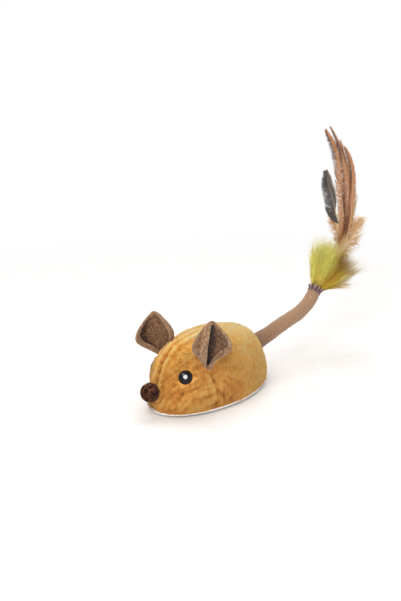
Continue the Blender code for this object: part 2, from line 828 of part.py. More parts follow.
def make_motor(side):
    """Small can motor with flats, a front boss in the frame's wall and a cap at its rear."""
    _, motor, _, _ = train(side)
    half = FRAME_INNER - SEAT_GAP
    boss_top = half + FRAME_WALL
    profile = [
        (0, half - MOTOR_SHAFT_DEPTH),
        (MOTOR_SHAFT_RADIUS + RUNNING_GAP, half - MOTOR_SHAFT_DEPTH),
        (MOTOR_SHAFT_RADIUS + RUNNING_GAP, boss_top),
        (MOTOR_BOSS_RADIUS, boss_top),
        (MOTOR_BOSS_RADIUS, half),
        (MOTOR_RADIUS - MOTOR_CHAMFER, half),
        (MOTOR_RADIUS, half - MOTOR_CHAMFER),
        (MOTOR_RADIUS, MOTOR_CHAMFER + MOTOR_CAP - half),
        (MOTOR_RADIUS - MOTOR_CHAMFER, MOTOR_CAP - half),
        (MOTOR_CAP_RADIUS, MOTOR_CAP - half),
        (MOTOR_CAP_RADIUS, -half),
        (0, -half),
    ]
    name = f"motor_{SIDES[side]}"
    made = turned(name, profile, (0, *motor), (side, 0, 0), steel(), steps=MIDDLE_ROUND)
    for up in (1, -1):
        low, high = sorted((motor[1] + up * MOTOR_FLAT_HALF, motor[1] + up * (MOTOR_RADIUS + OVERRUN)))
        flat = block(
            f"{name}_flat_{up + 1}",
            (-FRAME_OUTER, motor[0] - MOTOR_RADIUS, low),
            (FRAME_OUTER, motor[0] + MOTOR_RADIUS, high),
        )
        cut(made, flat)
    return made


def make_pinion(side):
    """Pinion on the motor's shaft."""
    _, motor, _, phase = train(side)
    name = f"motor_pinion_{SIDES[side]}"
    low, high = span(side, INPUT_FROM, INPUT_TO)
    teeth = toothed_outline(PINION_TEETH, phase)
    pinion = plate(name, moved(teeth, motor), low, high, gear_plastic(), upright=True)
    shaft = rod(
        f"{name}_shaft",
        MOTOR_SHAFT_RADIUS,
        (side * (FRAME_INNER - SEAT_GAP - MOTOR_SHAFT_DEPTH + SEAT_GAP), *motor),
        (side * (INPUT_TO - FUSE), *motor),
        segments=SMALL_ROUND,
    )
    set_origin(pinion, (0, *motor))
    return join(pinion, shaft)


def make_reduction_gear(side):
    """Double gear: its wide wheel takes the pinion's turn and its small one drives the final gear."""
    place, _, phase, _ = train(side)
    name = f"reduction_gear_{SIDES[side]}"
    low, high = span(side, INPUT_FROM, INPUT_TO)
    wide = toothed_outline(REDUCTION_TEETH, phase)
    gear = plate(name, moved(wide, place), low, high, gear_plastic(), upright=True)
    low, high = span(side, INPUT_TO - FUSE, FINAL_TO)
    small = toothed_outline(REDUCTION_SMALL_TEETH, phase)
    join(gear, plate(f"{name}_small", moved(small, place), low, high, upright=True))
    bore = rod(
        f"{name}_bore",
        IDLER_PIN_RADIUS + RUNNING_GAP,
        (side * FRAME_OUTER, *place),
        (side * COVER_TO, *place),
        segments=SMALL_ROUND,
    )
    set_origin(gear, (0, *place))
    return cut(gear, bore)


def make_idler_pin(side):
    """Pin that the double gear turns on, held by the frame and the cover."""
    place, _, _, _ = train(side)
    return rod(
        f"idler_pin_{SIDES[side]}",
        IDLER_PIN_RADIUS,
        (side * FRAME_INNER, *place),
        (side * COVER_TO, *place),
        steel(),
        SMALL_ROUND,
    )


def make_final_gear(side):
    """Gear on the wheel's axle."""
    low, high = span(side, FINAL_FROM, FINAL_TO)
    gear = plate(
        f"final_gear_{SIDES[side]}",
        moved(toothed_outline(FINAL_TEETH, 0.0), WHEEL_AXIS),
        low,
        high,
        gear_plastic(),
        holes=[circle(AXLE_RADIUS + PRESS_GAP, WHEEL_AXIS, SMALL_ROUND)],
        upright=True,
    )
    return set_origin(gear, (0, *WHEEL_AXIS))


def make_wheel(side):
    """Axle, dished hub with lightening holes, and ribbed tyre of one drive wheel."""
    name = SIDES[side]
    centre = (0, *WHEEL_AXIS)
    axle = rod(
        f"axle_{name}",
        AXLE_RADIUS,
        (side * (FRAME_INNER - AXLE_TAIL), *WHEEL_AXIS),
        (side * (WHEEL_TO - SEAT_GAP), *WHEEL_AXIS),
        steel(),
        SMALL_ROUND,
    )
    set_origin(axle, centre)
    hub_radius = WHEEL_RADIUS - TYRE_WALL - SEAT_GAP
    bore = AXLE_RADIUS + PRESS_GAP
    half = TYRE_WIDTH / 2
    web = HUB_WEB / 2
    profile = [
        (bore, half),
        (HUB_BOSS_RADIUS, half),
        (HUB_BOSS_RADIUS, web),
        (hub_radius - HUB_RIM_WALL, web),
        (hub_radius - HUB_RIM_WALL, half),
        (hub_radius, half),
        (hub_radius, -half),
        (hub_radius - HUB_RIM_WALL, -half),
        (hub_radius - HUB_RIM_WALL, -web),
        (HUB_BOSS_RADIUS, -web),
        (HUB_BOSS_RADIUS, -half),
        (bore, -half),
    ]
    middle = side * (WHEEL_FROM + WHEEL_TO) / 2
    place = (middle, *WHEEL_AXIS)
    hub = turned(f"wheel_hub_{name}", profile, place, (1, 0, 0), white_plastic(), steps=MIDDLE_ROUND)
    ring = (HUB_BOSS_RADIUS + hub_radius - HUB_RIM_WALL) / 2
    hole_radius = (hub_radius - HUB_RIM_WALL - HUB_BOSS_RADIUS) / 3
    for number in range(HUB_HOLES):
        place = polar(WHEEL_AXIS, ring, 360 * number / HUB_HOLES)
        hole = rod(
            f"hub_hole_{name}_{number}",
            hole_radius,
            (middle - half, *place),
            (middle + half, *place),
            segments=HOLE_ROUND,
        )
        cut(hub, hole)
    low, high = span(side, WHEEL_FROM, WHEEL_TO)
    tyre = plate(
        f"tyre_{name}",
        moved(lugged_outline(), WHEEL_AXIS),
        low,
        high,
        rubber(),
        holes=[circle(WHEEL_RADIUS - TYRE_WALL, WHEEL_AXIS)],
        upright=True,
    )
    set_origin(tyre, centre)


def lugged_outline():
    """Outline of the tyre: flat lugs with narrow grooves between them."""
    lip = TYRE_GROOVE_SHARE / 2
    bed = TYRE_GROOVE_SHARE / 4
    groove_radius = WHEEL_RADIUS - TYRE_LUG_HEIGHT
    corners = (
        (lip, WHEEL_RADIUS),
        (1 - lip, WHEEL_RADIUS),
        (1 - bed, groove_radius),
        (1 + bed, groove_radius),
    )
    pitch = 2 * math.pi / TYRE_LUGS
    points = []
    for lug in range(TYRE_LUGS):
        for share, radius in corners:
            turn = (lug + share) * pitch - (math.pi + pitch) / 2
            points.append((radius * math.cos(turn), radius * math.sin(turn)))
    return points


CASTER_AXIS = (0, -CASTER_FORWARD)
CASTER_LEVEL = CASTER_WHEEL_RADIUS - GROUND_CLEARANCE
FORK_DISC_LEVEL = CASTER_LEVEL + CASTER_WHEEL_RADIUS + SEAT_GAP
WELL_BOSS_LEVEL = FORK_DISC_LEVEL + FORK_DISC + SEAT_GAP
WELL_TOP = WELL_BOSS_LEVEL + FORK_STEM_LENGTH + SEAT_GAP
FORK_INNER = CASTER_WHEEL_WIDTH / 2 + CASTER_SIDE_GAP
FORK_OUTER = FORK_INNER + FORK_ARM


def make_caster():
    """Fork that swivels in the base, its small wheel and the wheel's pin."""
    x, y = CASTER_AXIS
    wheel_y = y + CASTER_TRAIL
    disc_top = FORK_DISC_LEVEL + FORK_DISC
    fork = rod(
        "caster_fork",
        FORK_DISC_RADIUS,
        (x, y, FORK_DISC_LEVEL),
        (x, y, disc_top),
        white_plastic(),
    )
    stem = rod(
        "fork_stem",
        FORK_STEM_RADIUS,
        (x, y, disc_top - FUSE),
        (x, y, WELL_BOSS_LEVEL + FORK_STEM_LENGTH - SEAT_GAP),
        segments=SMALL_ROUND,
    )
    join(fork, stem)
    for side, name in SIDES.items():
        low, high = span(side, FORK_INNER, FORK_OUTER)
        outline = around([(wheel_y, CASTER_LEVEL)], FORK_ARM_HALF_LENGTH)
        outline = hull(
            outline
            + [
                (y - FORK_ARM_HALF_LENGTH, FORK_DISC_LEVEL + FUSE),
                (wheel_y + FORK_ARM_HALF_LENGTH / 2, FORK_DISC_LEVEL + FUSE),
            ]
        )
        hole = circle(CASTER_AXLE_RADIUS + PRESS_GAP, (wheel_y, CASTER_LEVEL), SMALL_ROUND)
        join(fork, plate(f"fork_arm_{name}", outline, low, high, holes=[hole], upright=True))
    set_origin(fork, (x, y, disc_top))
    half = CASTER_WHEEL_WIDTH / 2
    bore = CASTER_AXLE_RADIUS + RUNNING_GAP
    edge = CASTER_SIDE_GAP * 2
    profile = [
        (bore, half),
        (CASTER_WHEEL_RADIUS - edge, half),
        (CASTER_WHEEL_RADIUS, half - edge),
        (CASTER_WHEEL_RADIUS, edge - half),
        (CASTER_WHEEL_RADIUS - edge, -half),
        (bore, -half),
    ]
    turned("caster_wheel", profile, (x, wheel_y, CASTER_LEVEL), (1, 0, 0), black_plastic())
    rod(
        "caster_axle",
        CASTER_AXLE_RADIUS,
        (-FORK_OUTER, wheel_y, CASTER_LEVEL),
        (FORK_OUTER, wheel_y, CASTER_LEVEL),
        steel(),
        SMALL_ROUND,
    )


def case_screws():
    """Plan places of the four screws that hold the upper shell to the base."""
    places = []
    inset = LIP_INSET + LIP_WALL + BOSS_RADIUS + BOSS_MARGIN
    for end, forward in (("front", FRONT_SCREW_FORWARD), ("rear", -REAR_SCREW_BACK)):
        for side, name in SIDES.items():
            place, _ = skin_at(inset, forward, HEM_LEVEL, side)
            places.append((f"{end}_{name}", place.x, place.y))
    return places


def board_span():
    """How far the circuit board reaches forward and back, between the caster's well and the drive frame."""
    front = WELL_RADIUS + WELL_WALL + BOARD_MARGIN - CASTER_FORWARD
    return front, frame_length()[0] - SEAT_GAP


def board_middle():
    front, rear = board_span()
    return (front + rear) / 2


def board_standoffs():
    side = BOARD_HALF_WIDTH - STANDOFF_MARGIN
    front, rear = board_span()
    front += STANDOFF_MARGIN
    rear -= STANDOFF_MARGIN
    return [(side, front), (-side, front), (side, rear), (-side, rear)]


def wheel_slot(side):
    """Plan outline of the opening that a drive wheel reaches through, with slightly bowed ends."""
    drop = WHEEL_AXIS[1] - HEM_LEVEL
    chord = math.sqrt(WHEEL_RADIUS**2 - drop**2) + 4 * SEAT_GAP
    half = TYRE_WIDTH / 2 + 2 * SLOT_SIDES
    middle = side * (WHEEL_FROM + WHEEL_TO) / 2
    outline = rounded_box(half, chord, (middle, WHEEL_AXIS[0]), BASE_WALL)
    bow = chord + SEAT_GAP
    rear, front = (middle, WHEEL_AXIS[0] + bow), (middle, WHEEL_AXIS[0] - bow)
    corner = len(outline) // 4
    return [*outline[:corner], rear, *outline[corner : 3 * corner], front, *outline[3 * corner :]]


def make_base():
    """Moulded base: a floor with openings, a locating lip, bosses, standoffs and the caster's well."""
    middle = board_middle()
    port = rounded_box(PORT_LENGTH / 2 + SEAT_GAP, PORT_WIDTH / 2 + SEAT_GAP, (-SOCKET_SIDE, middle))
    slot_half = KNOB_LENGTH / 2 + SWITCH_TRAVEL / 2 + SEAT_GAP
    knob_slot = rounded_box(slot_half, KNOB_WIDTH / 2 + SEAT_GAP, (SWITCH_SIDE, middle), SEAT_GAP)
    well_room = circle(WELL_RADIUS + WELL_WALL / 2, CASTER_AXIS, WIDE_ROUND)
    holes = [wheel_slot(1), wheel_slot(-1), well_room, port, knob_slot]
    rim = (SCREW_HEAD_RADIUS + SEAT_GAP + BOSS_RADIUS) / 2
    quarter_step = math.pi / SMALL_ROUND / 2
    holes += [circle(rim, (x, y), SMALL_ROUND, quarter_step) for _, x, y in case_screws()]
    base = plate("base_shell", hem_outline(0, RIM_SEGMENTS), 0, BASE_WALL, white_plastic(), holes=holes)
    low = BASE_WALL - FUSE
    lip_top = BASE_WALL + LIP_HEIGHT
    lip = plate(
        "base_lip",
        hem_outline(LIP_INSET),
        low,
        lip_top,
        holes=[hem_outline(LIP_INSET + LIP_WALL)],
    )
    for side in SIDES:
        inner, outer = span(side, WHEEL_FROM - 2 * SLOT_SIDES, WHEEL_TO + 2 * SLOT_SIDES)
        reach = WHEEL_RADIUS + SEAT_GAP
        pocket = block(
            f"wheel_pocket_{SIDES[side]}",
            (inner, WHEEL_AXIS[0] - reach, low - OVERRUN),
            (outer, WHEEL_AXIS[0] + reach, lip_top + OVERRUN),
        )
        cut(lip, pocket)
    join(base, lip)
    x, y = CASTER_AXIS
    profile = [
        (WELL_RADIUS, BASE_WALL / 2),
        (WELL_RADIUS, WELL_TOP - WELL_ROOF),
        (WELL_BOSS_RADIUS, WELL_TOP - WELL_ROOF),
        (WELL_BOSS_RADIUS, WELL_BOSS_LEVEL),
        (FORK_STEM_RADIUS + RUNNING_GAP, WELL_BOSS_LEVEL),
        (FORK_STEM_RADIUS + RUNNING_GAP, WELL_TOP),
        (WELL_RADIUS + WELL_WALL, WELL_TOP),
        (WELL_RADIUS + WELL_WALL, BASE_WALL / 2),
    ]
    well = turned("caster_well", profile, (x, y, 0), (0, 0, 1), steps=WIDE_ROUND)
    join(base, settled(well))
    for name, x, y in case_screws():
        sink = SCREW_HEAD_RADIUS + SEAT_GAP
        sink_top = SCREW_RECESS + SCREW_HEAD + SEAT_GAP
        bore = SCREW_RADIUS + RUNNING_GAP
        profile = [
            (sink, BASE_WALL / 2),
            (sink, sink_top),
            (bore, sink_top),
            (bore, BOSS_HEIGHT),
            (BOSS_RADIUS, BOSS_HEIGHT),
            (BOSS_RADIUS, BASE_WALL / 2),
        ]
        join(base, settled(turned(f"boss_{name}", profile, (x, y, 0), (0, 0, 1), steps=SMALL_ROUND)))
    for number, (x, y) in enumerate(board_standoffs()):
        top = (x, y, BOARD_LEVEL - SEAT_GAP)
        standoff = rod(f"standoff_{number}", STANDOFF_RADIUS, (x, y, low), top, segments=SMALL_ROUND)
        join(base, standoff)
    pilot = SCREW_RADIUS + PRESS_GAP
    top = FRAME_FLOOR_LEVEL - SEAT_GAP
    bottom = FRAME_FLOOR_LEVEL + FRAME_FLOOR - FRAME_SCREW_LENGTH
    for number, y in enumerate(frame_screws()):
        profile = [
            (0, bottom),
            (pilot, bottom),
            (pilot, top),
            (BOSS_RADIUS, top),
            (BOSS_RADIUS, low),
            (0, low),
        ]
        boss = turned(f"frame_boss_{number}", profile, (0, y, 0), (0, 0, 1), steps=SMALL_ROUND)
        join(base, settled(boss))
    return base


def make_screws():
    """Case screws from below and frame screws from above."""
    for name, x, y in case_screws():
        screw(f"case_screw_{name}", (x, y, SCREW_RECESS), (0, 0, -1), CASE_SCREW_LENGTH)
    top = FRAME_FLOOR_LEVEL + FRAME_FLOOR + SEAT_GAP + SCREW_HEAD
    for name, y in zip(("front", "rear"), frame_screws()):
        screw(f"frame_screw_{name}", (0, y, top), (0, 0, 1), FRAME_SCREW_LENGTH)


def screw(name, head_top, direction, length):
    """Pan-head screw whose head's top lies at a point; length is that of its shank."""
    edge = SCREW_HEAD / 3
    profile = [
        (0, 0),
        (SCREW_HEAD_RADIUS - edge, 0),
        (SCREW_HEAD_RADIUS, -edge),
        (SCREW_HEAD_RADIUS, -SCREW_HEAD),
        (SCREW_RADIUS, -SCREW_HEAD),
        (SCREW_RADIUS, SCREW_RADIUS - SCREW_HEAD - length),
        (0, -SCREW_HEAD - length),
    ]
    return turned(name, profile, head_top, direction, steel(), steps=SMALL_ROUND)


def make_shell():
    """Upper shell: a thin dome with screw posts and the tail's socket."""
    shell = dome("upper_shell", SHELL_INSET, HEM_LEVEL, white_plastic())
    cut(shell, dome("shell_cavity", CAVITY_INSET, HEM_LEVEL - OVERRUN))
    middle_inset = SHELL_INSET + SHELL_WALL / 2
    trim = dome("post_trim", middle_inset, HEM_LEVEL)
    post_foot = BOSS_HEIGHT + SEAT_GAP
    for name, x, y in case_screws():
        post = rod(
            f"post_{name}",
            BOSS_RADIUS,
            (x, y, post_foot),
            (x, y, BODY_HEIGHT),
            segments=SMALL_ROUND,
        )
        combine(post, trim, "INTERSECT")
        join(shell, post)
    socket_start, outward = tail_start()
    outer = socket_start - outward * SEAT_GAP
    inner = outer - outward * SOCKET_DEPTH
    radius = TAIL_CORE_RADIUS + SEAT_GAP
    join(shell, rod("tail_socket", radius + SOCKET_WALL, inner, outer))
    cut(shell, rod("tail_socket_bore", radius, inner - outward * OVERRUN, outer + outward * OVERRUN))
    for name, x, y in case_screws():
        bore_top = SCREW_RECESS + SCREW_HEAD + CASE_SCREW_LENGTH + SEAT_GAP
        bore = rod(
            f"post_bore_{name}",
            SCREW_RADIUS + PRESS_GAP,
            (x, y, post_foot - OVERRUN),
            (x, y, bore_top),
            segments=SMALL_ROUND,
        )
        cut(shell, bore)
    for side in SIDES:
        cut(shell, eye_hole(side, "shell"))
    return shell


def tail_start():
    """Where the tail leaves the body, and its direction there."""
    route = tail_route()
    return route[0], (route[1] - route[0]).normalized()


def tail_route():
    root = skin_point(0, math.pi, sine_at(0, TAIL_ROOT_LEVEL))
    corners = [
        (0, root.y + reach * TAIL_REACH, root.z + rise * TAIL_RISE)
        for reach, rise in TAIL_ROUTE_SHARES
    ]
    return smooth_route(corners, TAIL_STEPS)


def eye_place(side):
    return skin_at(0, EYE_FORWARD, EYE_LEVEL, side)


def eye_hole(side, owner):
    """Helper for the hole that an eye's post passes through."""
    here, outward = eye_place(side)
    return rod(
        f"eye_hole_{owner}_{SIDES[side]}",
        EYE_POST_RADIUS + SEAT_GAP,
        here - outward * (CAVITY_INSET + OVERRUN),
        here + outward * OVERRUN,
        segments=SMALL_ROUND,
    )


def make_plush():
    """Two sewn halves of the plush cover, which meet along the middle seam."""
    for side, name in SIDES.items():
        panel = dome(f"plush_{name}", 0, HEM_LEVEL, plush())
        cut(panel, dome(f"plush_room_{name}", PLUSH_THICKNESS, HEM_LEVEL - OVERRUN))
        reach = BODY_LENGTH
        seam = side * SEAT_GAP / 2
        low, high = sorted((seam, -side * BODY_WIDTH))
        other_half = block(
            f"seam_{name}", (low, -reach, -BODY_HEIGHT), (high, reach, 2 * BODY_HEIGHT)
        )
        start, outward = tail_start()
        socket_room = rod(
            f"socket_room_{name}",
            TAIL_CORE_RADIUS + 2 * SEAT_GAP + SOCKET_WALL,
            start - outward * 2 * SOCKET_DEPTH,
            start + outward * SOCKET_DEPTH,
        )
        cut(panel, other_half, socket_room, eye_hole(side, "plush"))


def make_eyes():
    """Domed button eyes, their posts and the washers that hold them inside the shell."""
    for side, name in SIDES.items():
        here, outward = eye_place(side)
        profile = []
        for step in range(EYE_RINGS + 1):
            turn = math.pi / 2 * step / EYE_RINGS
            profile.append((EYE_RADIUS * math.sin(turn), EYE_HEIGHT * math.cos(turn)))
        profile[0] = (0, EYE_HEIGHT)
        profile += [(EYE_RADIUS, -EYE_HEIGHT / 2), (0, -EYE_HEIGHT / 2)]
        eye = turned(f"eye_{name}", profile, here, outward, black_plastic(), steps=MIDDLE_ROUND)
        cut(eye, dome(f"eye_seat_{name}", -SEAT_GAP, HEM_LEVEL))
        washer_top = CAVITY_INSET + WASHER_STANDOFF
        washer_bottom = washer_top + WASHER_WALL
        post = rod(
            f"eye_post_{name}",
            EYE_POST_RADIUS,
            here - outward * (washer_bottom + EYE_POST_TAIL),
            here + outward * (EYE_HEIGHT / 2),
            segments=SMALL_ROUND,
        )
        join(eye, post)
        hole = EYE_POST_RADIUS + PRESS_GAP
        washer = [
            (hole, -washer_top),
            (WASHER_RADIUS, -washer_top),
            (WASHER_RADIUS, -washer_bottom),
            (hole, -washer_bottom),
        ]
        turned(f"eye_washer_{name}", washer, here, outward, white_plastic(), steps=SMALL_ROUND)


def make_nose():
    """Round felted ball at the tip of the snout, seated on the plush."""
    shape = bmesh.new()
    bmesh.ops.create_uvsphere(shape, u_segments=MIDDLE_ROUND, v_segments=NOSE_RINGS, radius=NOSE_RADIUS)
    place = (0, -BODY_LENGTH / 2 - NOSE_REACH, NOSE_LEVEL)
    bmesh.ops.translate(shape, vec=place, verts=shape.verts)
    nose = add_object("nose_ball", mesh_from("nose_ball", shape), brown_felt())
    cut(nose, dome("nose_seat", -SEAT_GAP, HEM_LEVEL))


def make_ear(side):
    """Leaf of thick felt, closed at its foot like a cone and opening towards its tip.

    Across the felt the section is an arc of half-angle fold. With the flat half-width w its radius is
    w / fold, so the felt keeps its width: across = radius sin(u fold), forward = radius (1 - cos(u fold)).
    """
    name = f"ear_{SIDES[side]}"
    lean = Vector((side * EAR_LEAN_SHARES[0], *EAR_LEAN_SHARES[1:])).normalized()
    turn = math.radians(LEFT_EAR_TURN if side > 0 else RIGHT_EAR_TURN)
    opening = Vector((math.sin(turn), -math.cos(turn), 0))
    opening = (opening - lean * opening.dot(lean)).normalized()
    across = lean.cross(opening)
    foot = Vector((side * EAR_SIDE, -EAR_FORWARD, EAR_LEVEL))
    shape = bmesh.new()
    bmesh.ops.create_grid(shape, x_segments=8, y_segments=7, size=1)
    for vertex in shape.verts:
        over, up = vertex.co.x, (vertex.co.y + 1) / 2
        fold = math.radians(share_at(EAR_FOLDS, up))
        radius = EAR_HALF_FELT * share_at(EAR_LEAF_SHARES, up) / fold
        bend = over * fold
        offset = across * radius * math.sin(bend) + opening * radius * (1 - math.cos(bend))
        vertex.co = foot + lean * EAR_LENGTH * up + offset
    ear = add_object(name, mesh_from(name, shape), brown_felt())
    thicken = ear.modifiers.new("felt", "SOLIDIFY")
    thicken.thickness = EAR_FELT
    thicken.offset = 0
    cut(ear, dome(f"ear_seat_{SIDES[side]}", -SEAT_GAP, HEM_LEVEL))


def make_tail():
    """Springy core, the fabric sleeve over it and the gathered cuff at its end."""
    route = tail_route()
    start, outward = tail_start()
    hidden = [start - outward * (SOCKET_DEPTH + SEAT_GAP), start - outward * SOCKET_DEPTH / 2]
    tube("tail_core", hidden + route, TAIL_CORE_RADIUS, gear_plastic(), resolution=1)
    inner = TAIL_CORE_RADIUS + SEAT_GAP
    sleeve = tube(
        "tail_sleeve",
        route[:-1] + [route[-1] - (route[-1] - route[-2]).normalized() * SEAT_GAP],
        inner + TAIL_SLEEVE_WALL,
        tail_fabric(),
        TAIL_FLARE_SHARES,
    )
    end, onward = tail_end()
    bore = tube("sleeve_bore", [hidden[1], *route, end + onward * OVERRUN], inner)
    cut(sleeve, bore, dome("sleeve_seat", -SEAT_GAP, HEM_LEVEL))
    outline = []
    count = 4 * CUFF_GATHERS
    for k in range(count):
        turn = 2 * math.pi * k / count
        radius = inner + CUFF_WALL - CUFF_GATHER_DEPTH * (1 - math.cos(CUFF_GATHERS * turn)) / 2
        outline.append((radius * math.cos(turn), radius * math.sin(turn)))
    room = circle(inner, count=SMALL_ROUND)
    cuff = plate("tail_cuff", outline, 0, CUFF_LENGTH, tail_fabric(), holes=[room])
    cuff.data.transform(onward.to_track_quat("Z", "Y").to_matrix().to_4x4())
    cuff.data.transform(Matrix.Translation(end))


def tail_end():
    """End of the tail's core, and the direction that the cuff takes there."""
    route = tail_route()
    return route[-1], (route[-1] - route[-2]).normalized()


def plume_root():
    end, onward = tail_end()
    return end + onward * SEAT_GAP


def feather_outline(route_shares, half_width):
    """Outline in (y, z) of a vane whose width swells and tapers along its curved quill."""
    root = plume_root()
    corners = [
        (0, root.y + reach * PLUME_REACH, root.z + rise * PLUME_RISE) for reach, rise in route_shares
    ]
    route = smooth_route(corners, FEATHER_STEPS)
    left, right = [], []
    for k, point in enumerate(route):
        ahead = route[min(k + 1, FEATHER_STEPS)] - route[max(k - 1, 0)]
        normal = Vector((0, -ahead.z, ahead.y)).normalized()
        swell = share_at(VANE_SHARES, k / FEATHER_STEPS)
        width = QUILL_HALF_WIDTH + (half_width - QUILL_HALF_WIDTH) * swell
        left.append(tuple((point + normal * width).yz))
        right.append(tuple((point - normal * width).yz))
    return right + left[::-1]


def feather_finish(name):
    colours = {
        "feather_slate": (0.12, 0.14, 0.16),
        "feather_down_left": (0.75, 0.55, 0.33),
        "feather_down_right": (0.80, 0.58, 0.42),
    }
    return material(f"{name}_vane", colours.get(name, (0.42, 0.25, 0.15)), 0.8)


def make_feathers():
    """Vanes side by side across X, with the fluff's two lobes on either side of them."""
    pitch = VANE_THICKNESS + SEAT_GAP
    count = len(FEATHER_ROUTE_SHARES)
    first = -(count * pitch - SEAT_GAP) / 2
    for number, (name, shares) in enumerate(FEATHER_ROUTE_SHARES.items()):
        half_width = LONG_HALF_WIDTH if "long" in name else DOWN_HALF_WIDTH
        half_width = SLATE_HALF_WIDTH if "slate" in name else half_width
        low = first + number * pitch
        outline = feather_outline(shares, half_width)
        plate(name, outline, low, low + VANE_THICKNESS, feather_finish(name), upright=True)
    for side in SIDES:
        make_fluff(side, -first + SEAT_GAP)


def make_fluff(side, inner):
    """Half of a puff that swells from the cuff like a shuttlecock and closes at its top."""
    name = f"fluff_{SIDES[side]}"
    end, onward = tail_end()
    root = end + onward * (CUFF_LENGTH + SEAT_GAP)
    turn = math.radians(FLUFF_ANGLE)
    up = Vector((0, math.cos(turn), math.sin(turn)))
    over = Vector((0, -math.sin(turn), math.cos(turn)))
    shape = bmesh.new()
    bmesh.ops.create_uvsphere(shape, u_segments=MIDDLE_ROUND, v_segments=FLUFF_RINGS, radius=1)
    for vertex in shape.verts:
        along = (vertex.co.z + 1) / 2
        level = math.hypot(vertex.co.x, vertex.co.y)
        swell = math.sin(math.pi * along**FLUFF_SWELL)
        across, depth = (vertex.co.y / level, vertex.co.x / level) if level > WELD else (0, 0)
        vertex.co = (
            root
            + up * along * FLUFF_LENGTH
            + over * swell * across * FLUFF_HALF_WIDTH
            + Vector((swell * depth * FLUFF_HALF_DEPTH, 0, 0))
        )
    bmesh.ops.remove_doubles(shape, verts=shape.verts, dist=WELD)
    sliced = bmesh.ops.bisect_plane(
        shape,
        geom=shape.verts[:] + shape.edges[:] + shape.faces[:],
        plane_co=(side * inner, 0, 0),
        plane_no=(-side, 0, 0),
        clear_outer=True,
    )
    rim = [item for item in sliced["geom_cut"] if isinstance(item, bmesh.types.BMEdge)]
    bmesh.ops.contextual_create(shape, geom=rim)
    add_object(name, mesh_from(name, shape), material("lime_fluff", (0.45, 0.47, 0.10), 0.95))


